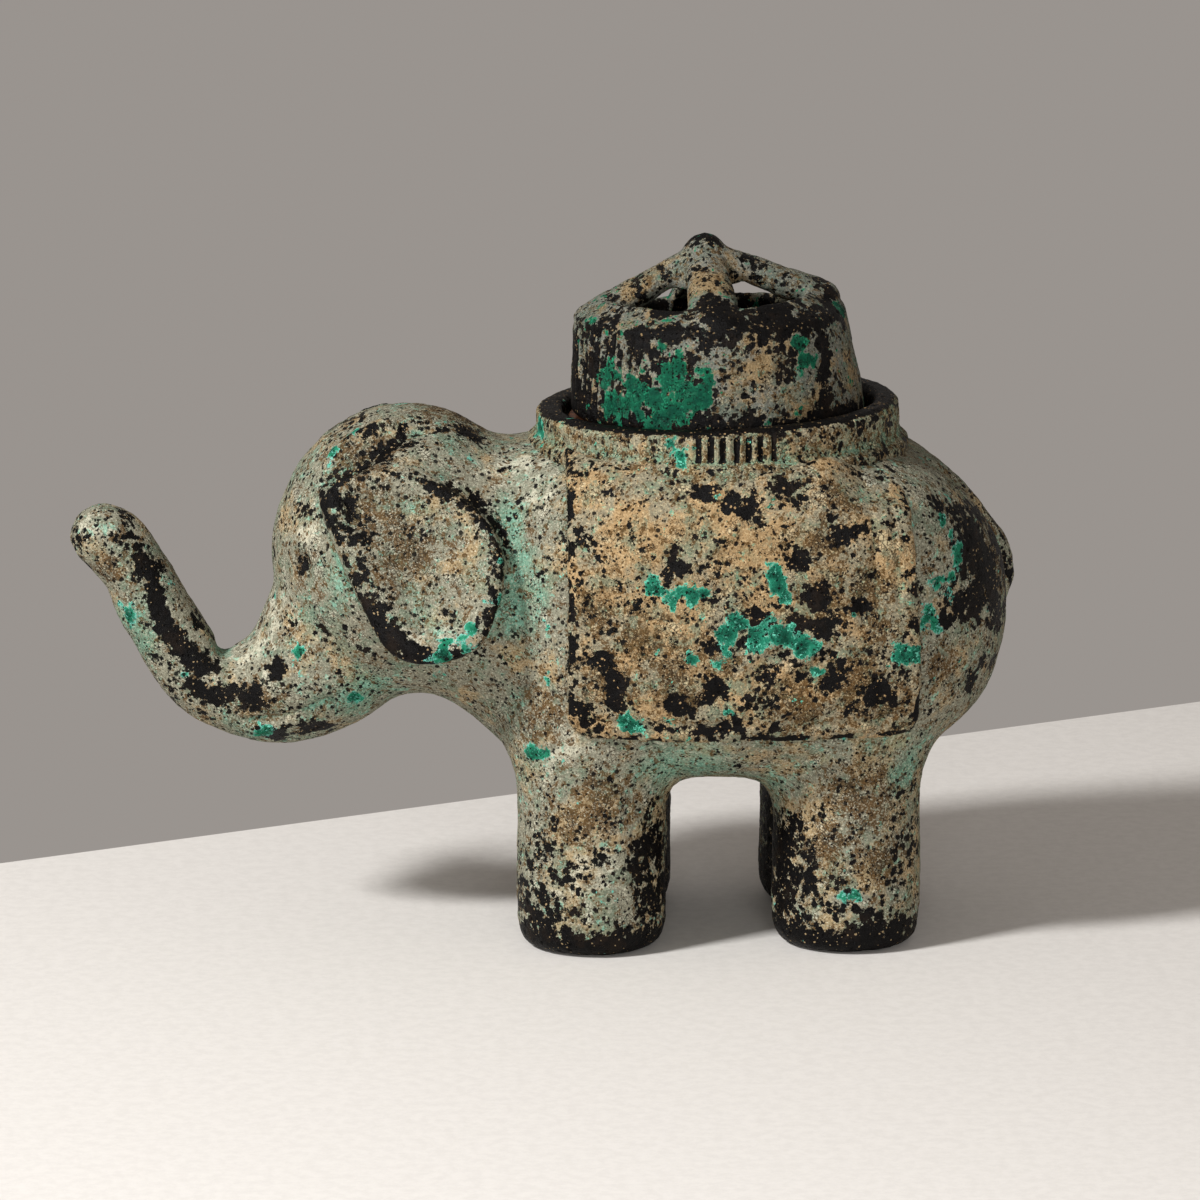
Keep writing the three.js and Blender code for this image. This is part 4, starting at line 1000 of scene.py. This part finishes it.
bars = [lid, cast("finial", "lid_finial")]
for turn in range(4):
    angle = math.radians(90 * turn)
    joints = []
    for reach, height in (RIB_HEM, RIB_BEND):
        ahead = reach * math.cos(angle)
        rise = math.tan(math.radians(RIB_LEAN)) * ahead
        joint = Vector((axis - LID_SHIFT + ahead, reach * math.sin(angle), height + rise))
        joints.append(joint * MM)
    hem, bend = joints
    inward = crown - bend
    for start, end, start_width, end_width in (
        (hem, bend, RIB_FOOT_WIDTH, RIB_FOOT_WIDTH), (bend, crown, RIB_FOOT_WIDTH, RIB_CROWN_WIDTH),
    ):
        run = end - start
        bpy.ops.mesh.primitive_cone_add(
            vertices=32, radius1=start_width / 2 * MM, radius2=end_width / 2 * MM, depth=run.length
        )
        bar = bpy.context.object
        bar.scale = (RIB_FLATNESS, 1, 1)
        bar.rotation_euler = (0, math.acos(run.z / run.length), math.atan2(inward.y, inward.x))
        if run.x * inward.x + run.y * inward.y < 0:
            bar.rotation_euler.y *= -1
        bar.location = (start + end) / 2
        bars.append(bar)
    bpy.ops.mesh.primitive_uv_sphere_add(
        segments=32, ring_count=16, radius=RIB_FOOT_WIDTH / 2 * MM, location=bend
    )
    knuckle = bpy.context.object
    knuckle.scale = (RIB_FLATNESS, 1, RIB_FLATNESS)
    knuckle.rotation_euler.z = angle
    bars.append(knuckle)
skirt_radius, skirt_top, skirt_height = FINIAL_SKIRT
bpy.ops.mesh.primitive_cone_add(
    vertices=32, radius1=skirt_radius * MM, radius2=skirt_top * MM, depth=skirt_height * MM,
    location=crown + Vector((0, 0, -1)) * MM,
)
bars.append(bpy.context.object)
choose(*bars)
bpy.ops.object.transform_apply()
bpy.ops.object.join()
modify(lid, "REMESH", mode="VOXEL", voxel_size=LID_STEP * MM)
x, y, z = places(lid).T
on_cross = ramp(z, lid_top - 2, lid_top) * fall(np.hypot(x - crown.x / MM, y), 28, 32)
relax(lid, 16, 0.15 + 0.85 * on_cross)
points = places(lid)
x, y, z = points.T
from_back = np.abs(np.degrees(np.arctan2(x - crown.x / MM, y)))
reach = np.hypot(x - crown.x / MM, y)
dip = ramp(from_back, 9, 16) * fall(from_back, 44, 62) * ramp(reach, 16, 19) * ramp(z, 122, 133)
points[:, 2] -= VENT_DIP * dip * fall(z, 137, 138.5)
put(lid, points)
points = places(lid)
facing = facings(lid)
x, y, z = points.T
round_angle = np.arctan2(y, x - axis)
reach = np.hypot(x - axis, y)
wall = ramp(reach, 27, 27.8) * fall(np.abs(facing[:, 2]), 0.2, 0.5) * ramp(z, 111, 113)
at_left = bell(np.degrees(round_angle) + 146, 26)
flutes = np.cos(round_angle * LID_RADIUS / LID_FLUTE_PITCH * 2 * math.pi)
band = bell(z - LID_BAND - 0.045 * (x - axis), 0.9)
put(lid, points + facing * (wall * (flutes * (0.04 + 0.26 * at_left) - 0.3 * band))[:, None])
LID_GREEN = [
    (14, -21.2, 115, 5), (18.2, -24, 118.5, 6), (25, -27, 123.5, 6), (28.5, -28.7, 118.5, 6),
    (23, -27.5, 114, 6), (12, -18, 121.5, 4), (7.8, -6.5, 125.7, 1.8), (9.6, -9, 129.5, 2.2),
    (6.3, -2.6, 119, 1.8), (51.4, -24, 129, 2.8), (52, -24.4, 125, 2.8), (61, -7, 133.5, 3),
    (12, -2, 137, 2.6), (50, 24, 122, 8), (20, 26, 118, 6),
]
LID_BARE = [
    (6.5, -6, 116, 6), (6, -3, 124, 6), (8.4, -12, 113, 6), (9, -12, 122, 5), (10.6, -13, 128.5, 4),
    (13.5, -18, 128, 4), (18.5, -22.5, 129.5, 3.6), (24, -26, 131, 2.6), (57.2, -19.5, 127, 2.6),
    (57, -21, 122, 2.4), (57.2, -21.3, 117, 2.6), (23, -20.5, 134.9, 4), (34.8, -24, 135, 6),
    (47.4, -22, 135.3, 6), (56, -17, 135, 5), (60.9, -9.5, 134.5, 4), (32.8, 0, 148, 4), (28, 26, 132, 7),
]
LID_TAN = [
    (44.5, -27, 129, 4), (45.3, -27.3, 125, 4.5), (48, -27.2, 119.5, 4), (51, -26, 116, 4),
    (62.4, -12, 125, 5), (62.8, -13, 118.8, 5), (15.5, -19, 132, 3), (18, 0, 139, 6), (33, -14, 140, 5),
]
points = places(lid)
deep = fall(reach, 25.5, 26.5) * fall(points[:, 2], 130, 132)
foot = fall(points[:, 2], 112.5, 116)
between = wall * at_left * ramp(-flutes, 0.1, 0.6)
in_green = dabbed(points, LID_GREEN)
runs = ramp(cloud(points * (1, 1, 0.45), 3, 3, 77), 0.02, 0.3)
bare_and_shade = np.maximum.reduce([
    0.75 * dabbed(points, LID_BARE), 0.6 * deep, 0.55 * foot, 0.5 * between, 0.5 * in_green * runs,
])
corrode(
    lid, 31, 0.74, rubbed=0.3, bare_and_shade=bare_and_shade - 0.34 * wall * at_left * ramp(flutes, 0.6, 0.98),
    green=0.08 + in_green * (0.8 - 0.3 * runs), tan=0.05 + 0.55 * dabbed(points, LID_TAN), haze_and_painted_light=0.15,
)
# Bronze kept damp by smoke and ash: a thin dark crust and deep green malachite, which looks the darkest
green_bronze = patina(
    "green_bronze", crust="#6c6e66", tan="#86704f", sage="#596358", brown="#4a3418", pale="#a0957a",
    haze_and_painted_light="#385a4c", teal="#436c5c", rim="#227a59", malachite="#0f5039",
)
dress(
    lid, green_bronze, "bronze_green", "lid", "lid_drum", "lid_finial", "lid_rib_front", "lid_rib_left",
    "lid_rib_back", "lid_rib_right",
)

# The table and the light
# A plain pale slab with its back edge in view, a soft key light from the upper left, a weaker fill in
# front and an even grey studio all round.
TABLE_TURN = math.radians(27)  # of the back edge, which runs away to the right
TABLE_BEHIND = 104 * MM  # from the middle of the frame to that edge
TABLE_DEPTH = 1.6  # metres, as the length is
TABLE_LENGTH = 4
back = Vector((-math.sin(TABLE_TURN), math.cos(TABLE_TURN), 0))
bpy.ops.mesh.primitive_plane_add(
    size=1, location=back * (TABLE_BEHIND - TABLE_DEPTH / 2), rotation=(0, 0, TABLE_TURN)
)
table = bpy.context.object
table.name = "table"
table.scale = (TABLE_LENGTH, TABLE_DEPTH, 1)
choose(table)
bpy.ops.object.transform_apply()
# Pale stone, honed and dull: faint mottling a few millimetres wide, and fine grain in its surface
stone, tree, where = blank("honed_stone")
mottle = add(tree, "TexNoise", sized(where, 3, Detail=8, Roughness=0.75))
feed(tree, tree.nodes["Principled BSDF"], {
    "Base Color": coats(tree, linear("#ccc8c3"), ("#d3cfca", mottle, 0.36, 0.62)),
    "Roughness": 0.9,
    "Normal": add(tree, "Bump", {"Height": mottle, "Strength": 0.2, "Distance": 0.3 * MM}),
})
table.data.materials.append(stone)
table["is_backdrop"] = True
world = bpy.data.worlds.new("studio")
world.use_nodes = True
feed(world.node_tree, world.node_tree.nodes["Background"], {"Color": linear("#a19b96"), "Strength": 0.9})
bpy.context.scene.world = world
AIM = Vector((11.3, 4.5, 68.9)) * MM
for name, place, size, power in (
    ("key", (-0.95, -0.62, 1.0), 0.22, 29), ("fill", (0.05, -0.8, 0.16), 0.3, 3),
):
    bpy.ops.object.light_add(type="AREA", location=place)
    light = bpy.context.object
    light.name = name
    light.data.size = size
    light.data.energy = power
    light.rotation_euler = (AIM - light.location).to_track_quat("-Z", "Y").to_euler()

# The camera
# A long lens, beside the animal's left side and a little towards its head, which looks slightly down.
CAMERA_PLACE = Vector((-66.3, -1461, 381)) * MM
bpy.ops.object.camera_add(location=CAMERA_PLACE)
camera = bpy.context.object
camera.rotation_euler = (AIM - CAMERA_PLACE).to_track_quat("-Z", "Y").to_euler()
camera.data.sensor_width = 36
camera.data.lens = 212.2
camera.data.clip_end = 20
bpy.context.scene.camera = camera
bpy.context.scene.view_settings.view_transform = "Standard"

low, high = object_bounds()
